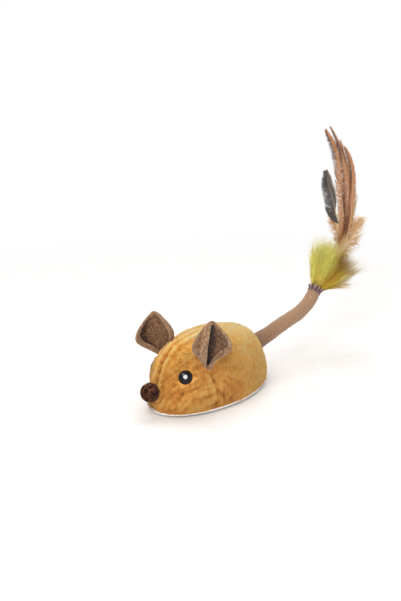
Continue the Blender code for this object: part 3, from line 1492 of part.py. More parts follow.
def make_electronics():
    """Circuit board, switch, charging socket, motion sensor, battery, its pad and its leads."""
    board_top = BOARD_LEVEL + BOARD_WALL
    board_front, board_rear = board_span()
    middle = board_middle()
    block(
        "circuit_board",
        (-BOARD_HALF_WIDTH, board_front, BOARD_LEVEL),
        (BOARD_HALF_WIDTH, board_rear, board_top),
        material("board_green", (0.03, 0.20, 0.08), 0.4),
    )
    under = BOARD_LEVEL - SEAT_GAP
    switch_low = under - SWITCH_DEPTH
    body = block(
        "power_switch",
        (SWITCH_SIDE - SWITCH_LENGTH / 2, middle - SWITCH_WIDTH / 2, switch_low),
        (SWITCH_SIDE + SWITCH_LENGTH / 2, middle + SWITCH_WIDTH / 2, under),
        steel(),
    )
    room_half = KNOB_LENGTH / 2 + SWITCH_TRAVEL / 2 + SEAT_GAP
    knob_top = under - SWITCH_WALL - SEAT_GAP
    room = block(
        "switch_room",
        (SWITCH_SIDE - room_half, middle - KNOB_WIDTH / 2 - RUNNING_GAP, switch_low - OVERRUN),
        (SWITCH_SIDE + room_half, middle + KNOB_WIDTH / 2 + RUNNING_GAP, under - SWITCH_WALL),
    )
    cut(body, room)
    knob_x = SWITCH_SIDE - SWITCH_TRAVEL / 2
    knob = block(
        "switch_knob",
        (knob_x - KNOB_LENGTH / 2, middle - KNOB_WIDTH / 2, KNOB_RECESS),
        (knob_x + KNOB_LENGTH / 2, middle + KNOB_WIDTH / 2, knob_top),
        black_plastic(),
    )
    set_origin(knob, (knob_x, middle, KNOB_RECESS))
    place = (-SOCKET_SIDE, middle)
    outline = rounded_box(PORT_LENGTH / 2, PORT_WIDTH / 2, place)
    port = plate("charging_socket", outline, KNOB_RECESS, under, steel())
    mouth = rounded_box(PORT_LENGTH / 2 - PORT_WALL, PORT_WIDTH / 2 - PORT_WALL, place)
    cut(port, plate("port_mouth", mouth, KNOB_RECESS - OVERRUN, under - PORT_WALL))
    tongue = block(
        "port_tongue",
        (place[0] - PORT_LENGTH / 3, place[1] - PORT_TONGUE / 2, KNOB_RECESS + PORT_TONGUE),
        (place[0] + PORT_LENGTH / 3, place[1] + PORT_TONGUE / 2, under - PORT_WALL / 2),
    )
    join(port, tongue)
    sensor_z = board_top + SEAT_GAP + SENSOR_RADIUS
    sensor_y = board_rear - SENSOR_RADIUS - SEAT_GAP
    rod(
        "motion_sensor",
        SENSOR_RADIUS,
        (LEAD_SIDE, sensor_y, sensor_z),
        (LEAD_SIDE + SENSOR_LENGTH, sensor_y, sensor_z),
        steel(),
        SMALL_ROUND,
    )
    battery_low = WELL_TOP + SEAT_GAP
    rear = BATTERY_LENGTH - BATTERY_FORWARD
    battery = block(
        "battery",
        (-BATTERY_WIDTH / 2, -BATTERY_FORWARD, battery_low),
        (BATTERY_WIDTH / 2, rear, battery_low + BATTERY_THICKNESS),
        material("battery_wrap", (0.55, 0.56, 0.58), 0.4, 0.6),
    )
    rounding = battery.modifiers.new("rounding", "BEVEL")
    rounding.width = BATTERY_ROUNDING
    rounding.segments = 2
    board_length = board_rear - board_front
    pad_front = board_front + PAD_MARGIN_SHARE * board_length
    pad_rear = pad_front + PAD_LENGTH_SHARE * board_length
    block(
        "battery_pad",
        (-PAD_WIDTH / 2, pad_front, board_top + SEAT_GAP),
        (PAD_WIDTH / 2, pad_rear, battery_low - SEAT_GAP),
        material("grey_foam", (0.2, 0.2, 0.21), 0.95),
    )
    exit_level = battery_low + BATTERY_THICKNESS / 2
    land_y = (rear + sensor_y) / 2
    leads = {
        "red": (-LEAD_SIDE, (0.5, 0.02, 0.02)),
        "black": (-LEAD_SIDE - LEAD_SPACING, (0.02, 0.02, 0.02)),
    }
    for name, (x, colour) in leads.items():
        corners = [
            (x, rear + SEAT_GAP, exit_level),
            (x, rear + LEAD_REACH / 2, exit_level),
            (x, rear + LEAD_REACH, (exit_level + board_top) / 2),
            (x, land_y, board_top + 4 * SEAT_GAP),
            (x, land_y, board_top + SEAT_GAP),
        ]
        route = smooth_route(corners, LEAD_STEPS)
        finish = material(f"lead_{name}", colour, 0.5)
        tube(f"battery_lead_{name}", route, LEAD_RADIUS, finish, resolution=1)


def make_all():
    make_base()
    make_shell()
    make_plush()
    make_eyes()
    make_nose()
    make_tail()
    make_feathers()
    make_drive_frame()
    make_caster()
    make_electronics()
    make_screws()
    for side in SIDES:
        make_ear(side)
        make_cover(side)
        make_motor(side)
        make_pinion(side)
        make_reduction_gear(side)
        make_idler_pin(side)
        make_final_gear(side)
        make_wheel(side)


make_all()
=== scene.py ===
# %% [markdown]
# # A plush mouse with a feathered tail
#
# The real object is a motorised cat toy: a golden plush mouse on a flat white base, with felt ears, a
# felt nose, glossy button eyes and a fabric tail that ends in a puff of down and a few long feathers.
# The packed CAD model holds every rigid part. This script loads it, keeps its place and size, and makes
# the soft pieces anew as surfaces worked out with numpy. First come the tools and the packed frame.

# %% Load the packed frame
import itertools
import json
import math

import bpy
import numpy as np
from mathutils import Matrix, Vector


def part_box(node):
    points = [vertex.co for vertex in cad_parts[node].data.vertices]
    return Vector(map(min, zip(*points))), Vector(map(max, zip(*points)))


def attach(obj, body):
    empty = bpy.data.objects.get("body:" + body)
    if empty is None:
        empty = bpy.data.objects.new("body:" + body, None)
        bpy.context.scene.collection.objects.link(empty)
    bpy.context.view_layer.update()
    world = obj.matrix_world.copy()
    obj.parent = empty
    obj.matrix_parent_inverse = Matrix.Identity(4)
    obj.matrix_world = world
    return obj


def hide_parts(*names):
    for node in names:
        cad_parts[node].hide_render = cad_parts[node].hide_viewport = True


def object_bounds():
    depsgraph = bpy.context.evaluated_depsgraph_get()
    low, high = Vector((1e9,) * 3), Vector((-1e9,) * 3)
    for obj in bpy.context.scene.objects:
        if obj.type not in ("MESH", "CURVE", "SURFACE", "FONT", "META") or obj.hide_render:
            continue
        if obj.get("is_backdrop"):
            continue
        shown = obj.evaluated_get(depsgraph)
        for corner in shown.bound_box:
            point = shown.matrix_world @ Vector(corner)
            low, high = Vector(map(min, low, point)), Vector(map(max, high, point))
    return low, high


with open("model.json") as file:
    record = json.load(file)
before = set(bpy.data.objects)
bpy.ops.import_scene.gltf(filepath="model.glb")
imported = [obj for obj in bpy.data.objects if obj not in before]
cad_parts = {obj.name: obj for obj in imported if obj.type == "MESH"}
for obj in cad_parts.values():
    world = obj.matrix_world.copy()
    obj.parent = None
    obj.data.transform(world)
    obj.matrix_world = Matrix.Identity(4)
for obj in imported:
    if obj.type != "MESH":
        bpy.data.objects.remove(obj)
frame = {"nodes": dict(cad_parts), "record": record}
nodes = frame["nodes"]
cad_box = [list(corner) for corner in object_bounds()]
print("nodes:", len(nodes), "box in mm:", np.round(1000 * np.array(cad_box), 1).tolist())

# %% [markdown]
# ## Camera
#
# The view stands to the front and left of the mouse and a little above it. A long lens far away keeps
# the shapes calm, as in a product picture. The camera is placed by its own position and the point it
# looks at, with a roll of about one degree.

# %% Camera
CAMERA_AT = Vector((0.5294, -0.5171, 0.2834))
CAMERA_TARGET = Vector((-0.0104, 0.0023, 0.0723))
CAMERA_ROLL, CAMERA_LENS = math.radians(1.19), 61.8

camera_data = bpy.data.cameras.new("camera")
camera_data.lens = CAMERA_LENS
camera = bpy.data.objects.new("camera", camera_data)
bpy.context.scene.collection.objects.link(camera)
looking = (CAMERA_TARGET - CAMERA_AT).to_track_quat("-Z", "Y").to_matrix().to_4x4()
camera.matrix_world = Matrix.Translation(CAMERA_AT) @ looking @ Matrix.Rotation(-CAMERA_ROLL, 4, "Z")
bpy.context.scene.camera = camera
print("camera stands", round((CAMERA_TARGET - CAMERA_AT).length, 3), "m from its target")

# %% [markdown]
# ## Colours
#
# A colour is easiest to write as it looks on a screen, from 0 to 255 per channel. Blender's shaders
# work with light itself, so one small function turns the screen's numbers into linear ones.


# %% Screen colours as linear ones
def tint(red, green, blue):
    """Linear colour: c / 12.92 up to 0.04045, and ((c + 0.055) / 1.055) to the power 2.4 above it."""
    share = np.array((red, green, blue)) / 255
    linear = np.where(share <= 0.04045, share / 12.92, ((share + 0.055) / 1.055) ** 2.4)
    return (*linear.tolist(), 1.0)


print("mid grey is", np.round(tint(128, 128, 128), 3).tolist())

# %% [markdown]
# ## Shader sums
#
# A finish is a small graph of nodes. Written out node by node, even a short sum fills a page, so a class
# wraps a socket and overloads the operators: `1 - mask * 0.5` then adds its two Math nodes by itself.
# Colours and vectors don't go through Math nodes, which would turn them grey, but through Mix and
# Vector Math nodes, which one general method adds, as it adds every other kind of node.


# %% A wire that can be used in sums, and a finish
class Wire:
    """A node's output. Each operator adds one Math node."""

    def __init__(self, socket):
        self.socket = socket

    def sum(self, operation, first, second):
        node = self.socket.id_data.nodes.new("ShaderNodeMath")
        node.operation = operation
        feed(node.inputs[0], first)
        feed(node.inputs[1], second)
        return Wire(node.outputs[0])

    def __add__(self, other):
        return self.sum("ADD", self, other)

    __radd__ = __add__

    def __sub__(self, other):
        return self.sum("SUBTRACT", self, other)

    def __rsub__(self, other):
        return self.sum("SUBTRACT", other, self)

    def __mul__(self, other):
        return self.sum("MULTIPLY", self, other)

    __rmul__ = __mul__

    def __gt__(self, other):
        return self.sum("GREATER_THAN", self, other)


def feed(socket, value):
    """Links a wire to a socket, or sets the socket to a plain value."""
    if isinstance(value, Wire):
        socket.id_data.links.new(value.socket, socket)
    else:
        socket.default_value = value


class Finish:
    """A material around one Principled shader, whose constants are set straight on its sockets."""

    def __init__(self, name, **constants):
        self.material = bpy.data.materials.new(name)
        self.material.use_nodes = True
        self.tree = self.material.node_tree
        self.shader = self.tree.nodes["Principled BSDF"]
        self.done(**constants)

    def node(self, kind, settings=None, output=0, **values):
        """Adds a node: its settings first, then its sockets' values or wires. Gives one output."""
        node = self.tree.nodes.new("ShaderNode" + kind)
        for setting, value in (settings or {}).items():
            setattr(node, setting, value)
        for socket, value in values.items():
            key = int(socket[1:]) if socket[1:].isdigit() else socket.replace("_", " ")
            feed(node.inputs[key], value)
        return Wire(node.outputs[output])

    def place(self):
        """Where a point lies on the piece, in metres."""
        return self.node("TexCoord", output="Object")

    def noise(self, size, detail=3.0, rough=0.55, stretch=None):
        """Noise of a grain size in metres, from 0 to 1, stretched by factors along the axes."""
        where = self.place()
        if stretch:
            where = self.node("Mapping", Vector=where, Scale=stretch)
        return self.node("TexNoise", Vector=where, Scale=1 / size, Detail=detail, Roughness=rough)

    def ramp(self, amount, *stops):
        """Colour for an amount, between stops of a place and three screen numbers."""
        made = self.node("ValToRGB", Fac=amount)
        ramp = made.socket.node.color_ramp.elements
        while len(ramp) < len(stops):
            ramp.new(0.5)
        for stop, (place, *colour) in zip(ramp, stops):
            stop.position, stop.color = place, tint(*colour)
        return made

    def blend(self, amount, first, second, kind="MIX"):
        """Colour between two colours, by an amount."""
        settings = {"data_type": "RGBA", "blend_type": kind, "clamp_factor": True}
        return self.node("Mix", settings, output=2, _0=amount, _6=first, _7=second)

    def bump(self, height, depth):
        """Normal of a relief whose height runs from 0 to 1 over a depth in metres."""
        return self.node("Bump", Height=height, Distance=depth)

    def done(self, **surface):
        """Feeds the shader's sockets with values or wires, and gives the material."""
        for socket, value in surface.items():
            feed(self.shader.inputs[socket.replace("_", " ")], value)
        return self.material


print("operators:", [name for name in vars(Wire) if name.startswith("__")][:4])

# %% [markdown]
# Most soft pieces share one of two finishes. A fabric reads a tone that its mesh carries on each point,
# adds grain to it and looks the sum up on a ramp of colours. A dyed strand carries its whole colour on
# its points, and a grey noise only makes it uneven.


# %% Fabrics and dyed strands
def fabric(name, grains, fine, depth, *stops, **constants):
    """Ramp of tone + sum of (noise - 0.5) * amount over the grains, on a fine relief of some depth."""
    made = Finish(name, **constants)
    tone = made.node("Attribute", {"attribute_name": "tone"}, output="Fac")
    for amount, *grain in grains:
        tone = tone + (made.noise(*grain) - 0.5) * amount
    return made.done(Base_Color=made.ramp(tone, *stops), Normal=made.bump(made.noise(*fine), depth))


def dyed(name, grain, dark, **constants):
    """The points' own shade, times a noise from a dark grey to white."""
    made = Finish(name, **constants)
    own = made.node("Attribute", {"attribute_name": "shade"}, output="Color")
    grey = made.ramp(made.noise(grain), (0.2, dark, dark, dark), (0.8, 255, 255, 255))
    return made.done(Base_Color=made.blend(1.0, own, grey, "MULTIPLY"))


# %% [markdown]
# ## Floor, background and light
#
# The mouse stands on its wheels, so the floor lies at their lowest point. The floor is a pale disc that
# keeps the shadow near the mouse and turns into plain white light farther out, so that it meets the
# white background without an edge. Only camera, glossy and transmission rays see that white: the light
# on the mouse comes from an even sky and a few soft lamps.

# %% Floor and world
FLOOR_RADIUS, WHITE_FROM, WHITE_TO = 3.0, 0.22, 0.60
SKY_STRENGTH, DISC_CORNERS = 0.62, 96

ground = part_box("tyre_left")[0].z
turns = np.linspace(0, 2 * np.pi, DISC_CORNERS + 1)[:-1]
disc = np.stack((FLOOR_RADIUS * np.cos(turns), FLOOR_RADIUS * np.sin(turns), 0 * turns + ground), -1)
floor_mesh = bpy.data.meshes.new("floor")
floor_mesh.from_pydata(disc.tolist(), [], [list(range(len(disc)))])
floor = bpy.data.objects.new("floor", floor_mesh)
bpy.context.scene.collection.objects.link(floor)
floor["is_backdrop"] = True

paper = Finish("floor_paper", Roughness=0.6, Specular_IOR_Level=0.25)
far = paper.node("VectorMath", {"operation": "LENGTH"}, output="Value", Vector=paper.place())
fade = paper.node("MapRange", Value=far, From_Min=WHITE_FROM, From_Max=WHITE_TO)
seen = paper.node("LightPath", output="Is Camera Ray")
glow = paper.node("Emission", Strength=1.0)
grain = paper.noise(0.02, detail=2.0)
paper.done(Base_Color=paper.ramp(grain, (0.3, 243, 239, 236), (0.7, 247, 244, 242)))
joined = paper.node("MixShader", _0=fade * seen, _1=Wire(paper.shader.outputs[0]), _2=glow)
feed(paper.tree.nodes["Material Output"].inputs["Surface"], joined)
floor_mesh.materials.append(paper.material)

world = bpy.data.worlds.new("studio")
world.use_nodes = True
bpy.context.scene.world = world
path = world.node_tree.nodes.new("ShaderNodeLightPath")
background = world.node_tree.nodes["Background"]
background.inputs["Color"].default_value = (1, 1, 1, 1)
rays = ("Camera", "Glossy", "Transmission")
straight, reflected, through = (Wire(path.outputs[f"Is {ray} Ray"]) for ray in rays)
bright = straight + reflected + through > 0.5
feed(background.inputs["Strength"], bright * (1 - SKY_STRENGTH) + SKY_STRENGTH)
print("floor level in mm:", round(1000 * ground, 2))

# %% [markdown]
# Three soft boxes do the rest. The key stands above the camera, to its left. A wide one overhead
# brightens the back and the tail, and a weak one fills the far side. A small round catch light near the
# head only shows in mirrors, so it puts the bright spot on the glossy eyes and lights nothing else.

# %% Lamps
LAMPS_AIM = Vector((0, 0, 0.03))
LAMPS = {
    "key": ((0.42, -0.62, 0.62), 0.42, 4.2),
    "overhead": ((-0.10, 0.25, 0.95), 0.80, 4.4),
    "fill": ((-0.70, -0.45, 0.35), 0.60, 0.9),
    "catch": ((0.186, -0.134, 0.080), 0.12, 1.7),
}
for name, (place, size, power) in LAMPS.items():
    lamp = bpy.data.lights.new(name, "AREA")
    lamp.size, lamp.energy = size, power
    lamp_object = bpy.data.objects.new(name, lamp)
    lamp_object.location = place
    lamp_object.rotation_euler = (LAMPS_AIM - Vector(place)).to_track_quat("-Z", "Y").to_euler()
    bpy.context.scene.collection.objects.link(lamp_object)
    if name == "catch":
        lamp.shape = "DISK"
        lamp_object.visible_diffuse = lamp_object.visible_camera = False
print("lamps:", sorted(LAMPS))

view = bpy.context.scene.view_settings
view.view_transform = "Standard"

# %% [markdown]
# ## Small tools for arrays
#
# Nearly every shape and colour below is a sum of a few simple curves over whole arrays. `rise` is a ramp
# that starts somewhere and is full after a span, or that falls where the span is negative. `bell` is a
# bump. `circles` carries a circle along, which turns lines into tubes.

# %% Tools
SIDES = ((1, "left"), (-1, "right"))
AXIS_X = np.array((1.0, 0.0, 0.0))


def unit(vectors):
    """Vectors of length one: each is divided by its own length."""
    return vectors / (np.linalg.norm(vectors, axis=-1, keepdims=True) + 1e-12)


def rise(value, start, span):
    """Share from 0 to 1 of the way past a start: (value - start) / span, cut off at both ends."""
    return np.clip((value - start) / span, 0, 1)


def bell(distance, width):
    """exp(-(distance / width)^2), which is 1 in the middle and fades outwards."""
    return np.exp(-((distance / width) ** 2))


def signed_power(values, power):
    """Power of each value's size, with the value's own sign."""
    return np.sign(values) * np.abs(values) ** power


def circles(side, over, steps):
    """Unit circles between two directions, at even steps: side * cos(turn) + over * sin(turn)."""
    turns = np.arange(steps)[:, None] * 2 * np.pi / steps
    return side[..., None, :] * np.cos(turns) + over[..., None, :] * np.sin(turns)


print("rise of 0.5 from 0 over 2:", rise(0.5, 0, 2))

# %% [markdown]
# ## From arrays to pieces
#
# Every new piece is a set of arrays: points, faces that name them, and numbers on the points that its
# finish reads. The faces are turned outwards by the sign of the volume that they enclose. One function
# writes them into a mesh at once and hangs the piece on its CAD body.


# %% Mesh pieces from arrays
def grid_faces(rows, columns, closed=False, first=0):
    """Quads of a grid that is numbered row by row. A closed one joins its last column to its first."""
    row = first + np.arange(rows - 1)[:, None] * columns
    column = np.arange(columns if closed else columns - 1)[None]
    after = (column + 1) % columns
    quads = (row + column, row + after, row + columns + after, row + columns + column)
    return np.stack(quads, -1).reshape(-1, 4)


def fan_faces(pole, ring):
    """Triangles from one pole to a closed ring of point numbers."""
    return np.stack((np.full(len(ring), pole), ring, np.roll(ring, -1)), -1)


def capped(rows, columns, first=0):
    """Faces of rings between two poles. Both poles come after the rings, or with first=1 one before."""
    ring = first + np.arange(columns)
    start = fan_faces(0 if first else rows * columns, ring)[:, ::-1]
    end = fan_faces(rows * columns + 1, ring + (rows - 1) * columns)
    return [grid_faces(rows, columns, closed=True, first=first), np.concatenate((start, end))]


def faced(points, faces):
    """The faces, turned so that the volume between them and the points' middle is positive."""
    middle, volume = points.mean(0), 0.0
    for kind in faces:
        for k in range(1, kind.shape[1] - 1):
            a, b, c = (points[kind[:, j]] - middle for j in (0, k, k + 1))
            volume += np.einsum("ij,ij->i", a, np.cross(b, c)).sum()
    return faces if volume > 0 else [kind[:, ::-1] for kind in faces]


def piece(name, points, faces, finish, slot, replaced=None, uv=None, normals=None, **numbers):
    """Smooth mesh object on the body. numbers holds values per point, uv a place per corner."""
    mesh = bpy.data.meshes.new(name)
    counts = np.concatenate([np.full(len(kind), kind.shape[1]) for kind in faces])
    corners = np.concatenate([kind.ravel() for kind in faces])
    mesh.vertices.add(len(points))
    mesh.vertices.foreach_set("co", np.asarray(points, np.float32).ravel())
    mesh.loops.add(len(corners))
    mesh.loops.foreach_set("vertex_index", corners.astype(np.int32))
    mesh.polygons.add(len(counts))
    mesh.polygons.foreach_set("loop_start", (np.cumsum(counts) - counts).astype(np.int32))
    mesh.polygons.foreach_set("use_smooth", np.ones(len(counts), bool))
    for label, values in numbers.items():
        flat = np.asarray(values, np.float32)
        kind, field = ("FLOAT", "value") if flat.ndim == 1 else ("FLOAT_COLOR", "color")
        mesh.attributes.new(label, kind, "POINT").data.foreach_set(field, flat.ravel())
    if uv is not None:
        mesh.uv_layers.new(name="OFBake").uv.foreach_set("vector", np.asarray(uv, np.float32).ravel())
    mesh.update(calc_edges=True)
    if normals is not None:
        mesh.normals_split_custom_set_from_vertices(normals.tolist())
    mesh.materials.append(finish)
    made = bpy.data.objects.new(name, mesh)
    bpy.context.scene.collection.objects.link(made)
    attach(made, "body")
    if replaced:
        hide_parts(replaced)
    print(f"{name}: {len(points)} points, {len(counts)} faces")
    return made


print("a grid of 3 by 4 points has", len(grid_faces(3, 4)), "quads")

# %% [markdown]
# ## Noise and smooth routes
#
# Plush, felt and down are never even. `lumps` gives every point of an array a smooth random number, from
# random values on a lattice. `route` draws a smooth curve through a few corners, the same one that the
# CAD model's tail and feathers follow, so that the soft pieces stay in the space of their solids.


# %% Smooth noise and routes
def lumps(points, size, seed=0):
    """Noise from -1 to 1: lattice values at a size apart, blended by 3t^2 - 2t^3 along each axis."""
    place = points / size
    cell = np.floor(place).astype(np.int64)
    share = place - cell
    share = share * share * (3 - 2 * share)
    total = np.zeros(points.shape[:-1])
    for corner in itertools.product((0, 1), repeat=3):
        key = (cell + corner) @ np.array((73856093, 19349663, 83492791)) + seed * 40503
        key = (key ^ (key >> 13)) * 1274126177
        key = (key ^ (key >> 16)) & 0xFFFF
        total += np.prod(np.where(corner, share, 1 - share), -1) * (key / 32767.5 - 1)
    return total


def eased(table, at):
    """Values between (place, value) rows, by a cubic that keeps the rows' slopes."""
    places, values = np.array(table, float).T
    slopes = np.gradient(values, places)
    k = np.clip(np.searchsorted(places, at) - 1, 0, len(places) - 2)
    gap = places[k + 1] - places[k]
    t = (np.clip(at, places[0], places[-1]) - places[k]) / gap
    near = (1 + 2 * t) * (1 - t) ** 2 * values[k] + t * (1 - t) ** 2 * gap * slopes[k]
    return near + t * t * (3 - 2 * t) * values[k + 1] + t * t * (t - 1) * gap * slopes[k + 1]


def pairs(*thousandths):
    """Rows of two numbers that are written in thousandths."""
    return np.reshape(thousandths, (-1, 2)) / 1000


def route(root, size, shares, count):
    """Catmull-Rom curve in the middle plane from a root, through shares of a size along Y and Z."""
    corners = root + np.insert(shares * size, 0, 0, axis=1)
    ends = 2 * corners[0] - corners[1], 2 * corners[-1] - corners[-2]
    padded = np.vstack((ends[0], corners, ends[1]))
    whole = np.linspace(0, len(corners) - 1, count)
    k = np.minimum(whole.astype(int), len(corners) - 2)
    t = (whole - k)[:, None]
    a, b, c, d = (padded[k + step] for step in range(4))
    bend, twist = 2 * a - 5 * b + 4 * c - d, 3 * b - 3 * c + d - a
    return (2 * b + t * (c - a) + t**2 * bend + t**3 * twist) / 2


print("noise spans", np.round(lumps(np.random.default_rng(1).random((999, 3)), 0.1).max(), 2))

# %% [markdown]
# ## Strands
#
# Pile, down and the barbs of a feather are all strands. One that is drawn thousands of times must stay
# light: a blade of the pile is a spike with three sides, and a longer strand is a three-sided tube of a
# few rings that closes in a point. Each strand also gets its own small cell on a map, so that its
# colours can be stored in a picture later without neighbours running into each other.


# %% Spikes and strands
def cell_map(count, corners):
    """UVs for count strands: each gets one cell of a square table, and corners (m, 2) lie within it."""
    side = math.ceil(math.sqrt(count))
    start = np.stack((np.arange(count) % side, np.arange(count) // side), -1)
    return ((start[:, None] + 0.06 + 0.88 * corners) / side).reshape(-1, 2)


def spikes(roots, tips, radius, seed):
    """Three-sided spikes: three points around each root and one tip. Gives points, faces and UVs."""
    count = len(roots)
    along = unit(tips - roots)
    side = unit(np.cross(along, np.random.default_rng(seed).normal(size=(count, 3))))
    foot = roots[:, None] + circles(side, np.cross(along, side), 3) * radius
    points = np.concatenate((foot, tips[:, None]), 1).reshape(-1, 3)
    shape = np.array(((0, 1, 3), (1, 2, 3), (2, 0, 3)))
    faces = (shape + 4 * np.arange(count)[:, None, None]).reshape(-1, 3)
    corners = [corner for k in range(3) for corner in ((k / 3, 0), ((k + 1) / 3, 0), ((k + 0.5) / 3, 1))]
    return points, [faces], cell_map(count, np.array(corners))


def strands(paths, radii, seed):
    """Three-sided tubes along paths (n, k, 3) that end in a point, with a closed foot."""
    count, rings = paths.shape[:2]
    along = unit(np.gradient(paths, axis=1))
    side = unit(np.cross(along, np.random.default_rng(seed).normal(size=(count, 1, 3))))
    ring = circles(side[:, :-1], np.cross(along, side)[:, :-1], 3)
    tube = paths[:, :-1, None] + ring * radii[:, :-1, None, None]
    points = np.concatenate((tube.reshape(count, -1, 3), paths[:, -1:]), 1)
    quads, caps, quad_map, cap_map = [], [(0, 2, 1)], [], [(0, 0), (0.66, 0), (0.33, 0.05)]
    height = 0.08 + 0.92 * np.arange(rings) / (rings - 1)
    last = 3 * (rings - 2)
    for level, k in itertools.product(range(rings - 2), range(3)):
        low, high, after = 3 * level, 3 * level + 3, (k + 1) % 3
        quads.append((low + k, low + after, high + after, high + k))
        left, right, under, over = k / 3, (k + 1) / 3, height[level], height[level + 1]
        quad_map += [(left, under), (right, under), (right, over), (left, over)]
    for k in range(3):
        caps.append((last + k, last + (k + 1) % 3, last + 3))
        cap_map += [(k / 3, height[-2]), ((k + 1) / 3, height[-2]), ((k + 0.5) / 3, 1)]
    step = points.shape[1] * np.arange(count)[:, None, None]
    faces = [(np.array(kind) + step).reshape(-1, len(kind[0])) for kind in (quads, caps)]
    maps = [cell_map(count, np.array(kind)) for kind in (quad_map, cap_map)]
    return points.reshape(-1, 3), faces, np.concatenate(maps)


def per_strand_point(values):
    """Colours given per ring (n, k, m), repeated for the points of strands()."""
    whole = np.concatenate((np.repeat(values[:, :-1], 3, axis=1), values[:, -1:]), 1)
    return whole.reshape(-1, values.shape[2])


print("a strand with 4 rings has", 3 * 2 * 2 + 4, "triangles")

# %% [markdown]
# ## The plush's shape
#
# The cover is a rounded box that narrows to the nose and curls in at its hem. It is the same formula as in
# the CAD model: the plan is an ellipse with fuller cheeks, and the upright section is fuller than an
# ellipse. On top of that comes relief: the seam along the middle with a soft roll at each side, a dart
# behind each cheek, a hollow round each eye, and the lumps of the pile.

# %% The skin's formula
BODY_LENGTH, BODY_WIDTH, BODY_HEIGHT = 0.1100, 0.0564, 0.0533
BOXINESS, CURL, CHEEKS, CROWN_SHIFT, HEM_LEVEL = 3.2, 0.34, 0.06, -0.0038, 0.0019
POLE_CROWDING, HALF_TURN = 1.6, math.pi / 2 + math.asin(CURL)
EYE_FORWARD, EYE_LEVEL = 0.04103, 0.02921


def skin(around, sine, inset=0.0):
    """Point of the skin drawn in by inset: reach = (1 - sine^2)^(1 / boxiness) scales the plan."""
    reach = np.maximum(0.0, 1 - sine * sine) ** (1 / BOXINESS)
    x = reach * (BODY_WIDTH / 2 - inset) * np.sin(around) * (1 + CHEEKS * np.cos(around))
    y = CROWN_SHIFT * (1 - reach) - reach * (BODY_LENGTH / 2 - inset) * np.cos(around)
    z = HEM_LEVEL + (sine + CURL) / (1 + CURL) * (BODY_HEIGHT - inset - HEM_LEVEL)
    return np.stack(np.broadcast_arrays(x, y, z), -1)


def sine_of(down):
    """The skin's sine for a share of the way down, 0 at the crown and 1 at the hem."""
    return np.sin(np.pi / 2 - HALF_TURN * np.abs(down) ** POLE_CROWDING)


def sine_at(level):
    """The skin's sine at a height in metres."""
    return (level - HEM_LEVEL) / (BODY_HEIGHT - HEM_LEVEL) * (1 + CURL) - CURL


def directions(around, down):
    """Outward, downward and forward directions on the skin, from small steps along its formula."""
    step = 1e-3
    sideways = skin(around + step, sine_of(down)) - skin(around - step, sine_of(down))
    downward = skin(around, sine_of(down + step)) - skin(around, sine_of(np.maximum(down - step, 1e-4)))
    outward = np.cross(downward, sideways)
    pole = np.linalg.norm(outward, axis=-1, keepdims=True) < 1e-13
    outward = np.where(pole, (0.0, 0.0, 1.0), unit(outward))
    forward = np.array((0.0, -1.0, 0.0)) - outward * -outward[..., 1:2]
    return outward, unit(downward), unit(forward)


def skin_spot(forward, level, side):
    """Point and outward direction of the skin at a height and a distance towards the nose."""
    sine = sine_at(level)
    reach = (1 - sine * sine) ** (1 / BOXINESS)
    around = side * math.acos((CROWN_SHIFT * (1 - reach) + forward) / (reach * BODY_LENGTH / 2))
    down = ((math.pi / 2 - math.asin(sine)) / HALF_TURN) ** (1 / POLE_CROWDING)
    outward = directions(np.array([around]), np.array([down]))[0][0]
    return skin(np.array([around]), np.array([sine]))[0], outward


EYES = {side: skin_spot(EYE_FORWARD, EYE_LEVEL, side) for side in (1, -1)}
print("left eye in mm:", np.round(1000 * EYES[1][0], 1), "faces", np.round(EYES[1][1], 2))

# %% [markdown]
# Relief is a sum of bumps and grooves, each a bell curve of the distance to a line or a point. The same
# sum moves the cloth and the roots of the pile, so the two always fit. The hard shell lies close under
# the cloth, so deep hollows level off above it.

# %% Relief of the cover
EAR_FOOT = np.array((0.0226, -0.0236, 0.0351))
HOLLOW_FROM, HOLLOW_SPAN = 0.0008, 0.0005
DART_TOP, DART_END = np.array((0.0246, -0.0232, 0.0303)), np.array((0.0273, -0.0172, 0.0139))


def mirroring(points):
    """Factors that carry points of the right side over to the left, or back."""
    return np.where(points[..., :1] < 0, (-1, 1, 1), (1, 1, 1))


def landmarks(points):
    """Points carried to the left, their distances to eye and dart, and how far they lie ahead of it."""
    mirrored = points * mirroring(points)
    run = DART_END - DART_TOP
    share = np.clip((mirrored - DART_TOP) @ run / (run @ run), 0, 1)
    offset = mirrored - (DART_TOP + share[..., None] * run)
    eye = np.linalg.norm(mirrored - EYES[1][0], axis=-1)
    return mirrored, eye, np.linalg.norm(offset, axis=-1), -offset[..., 1]


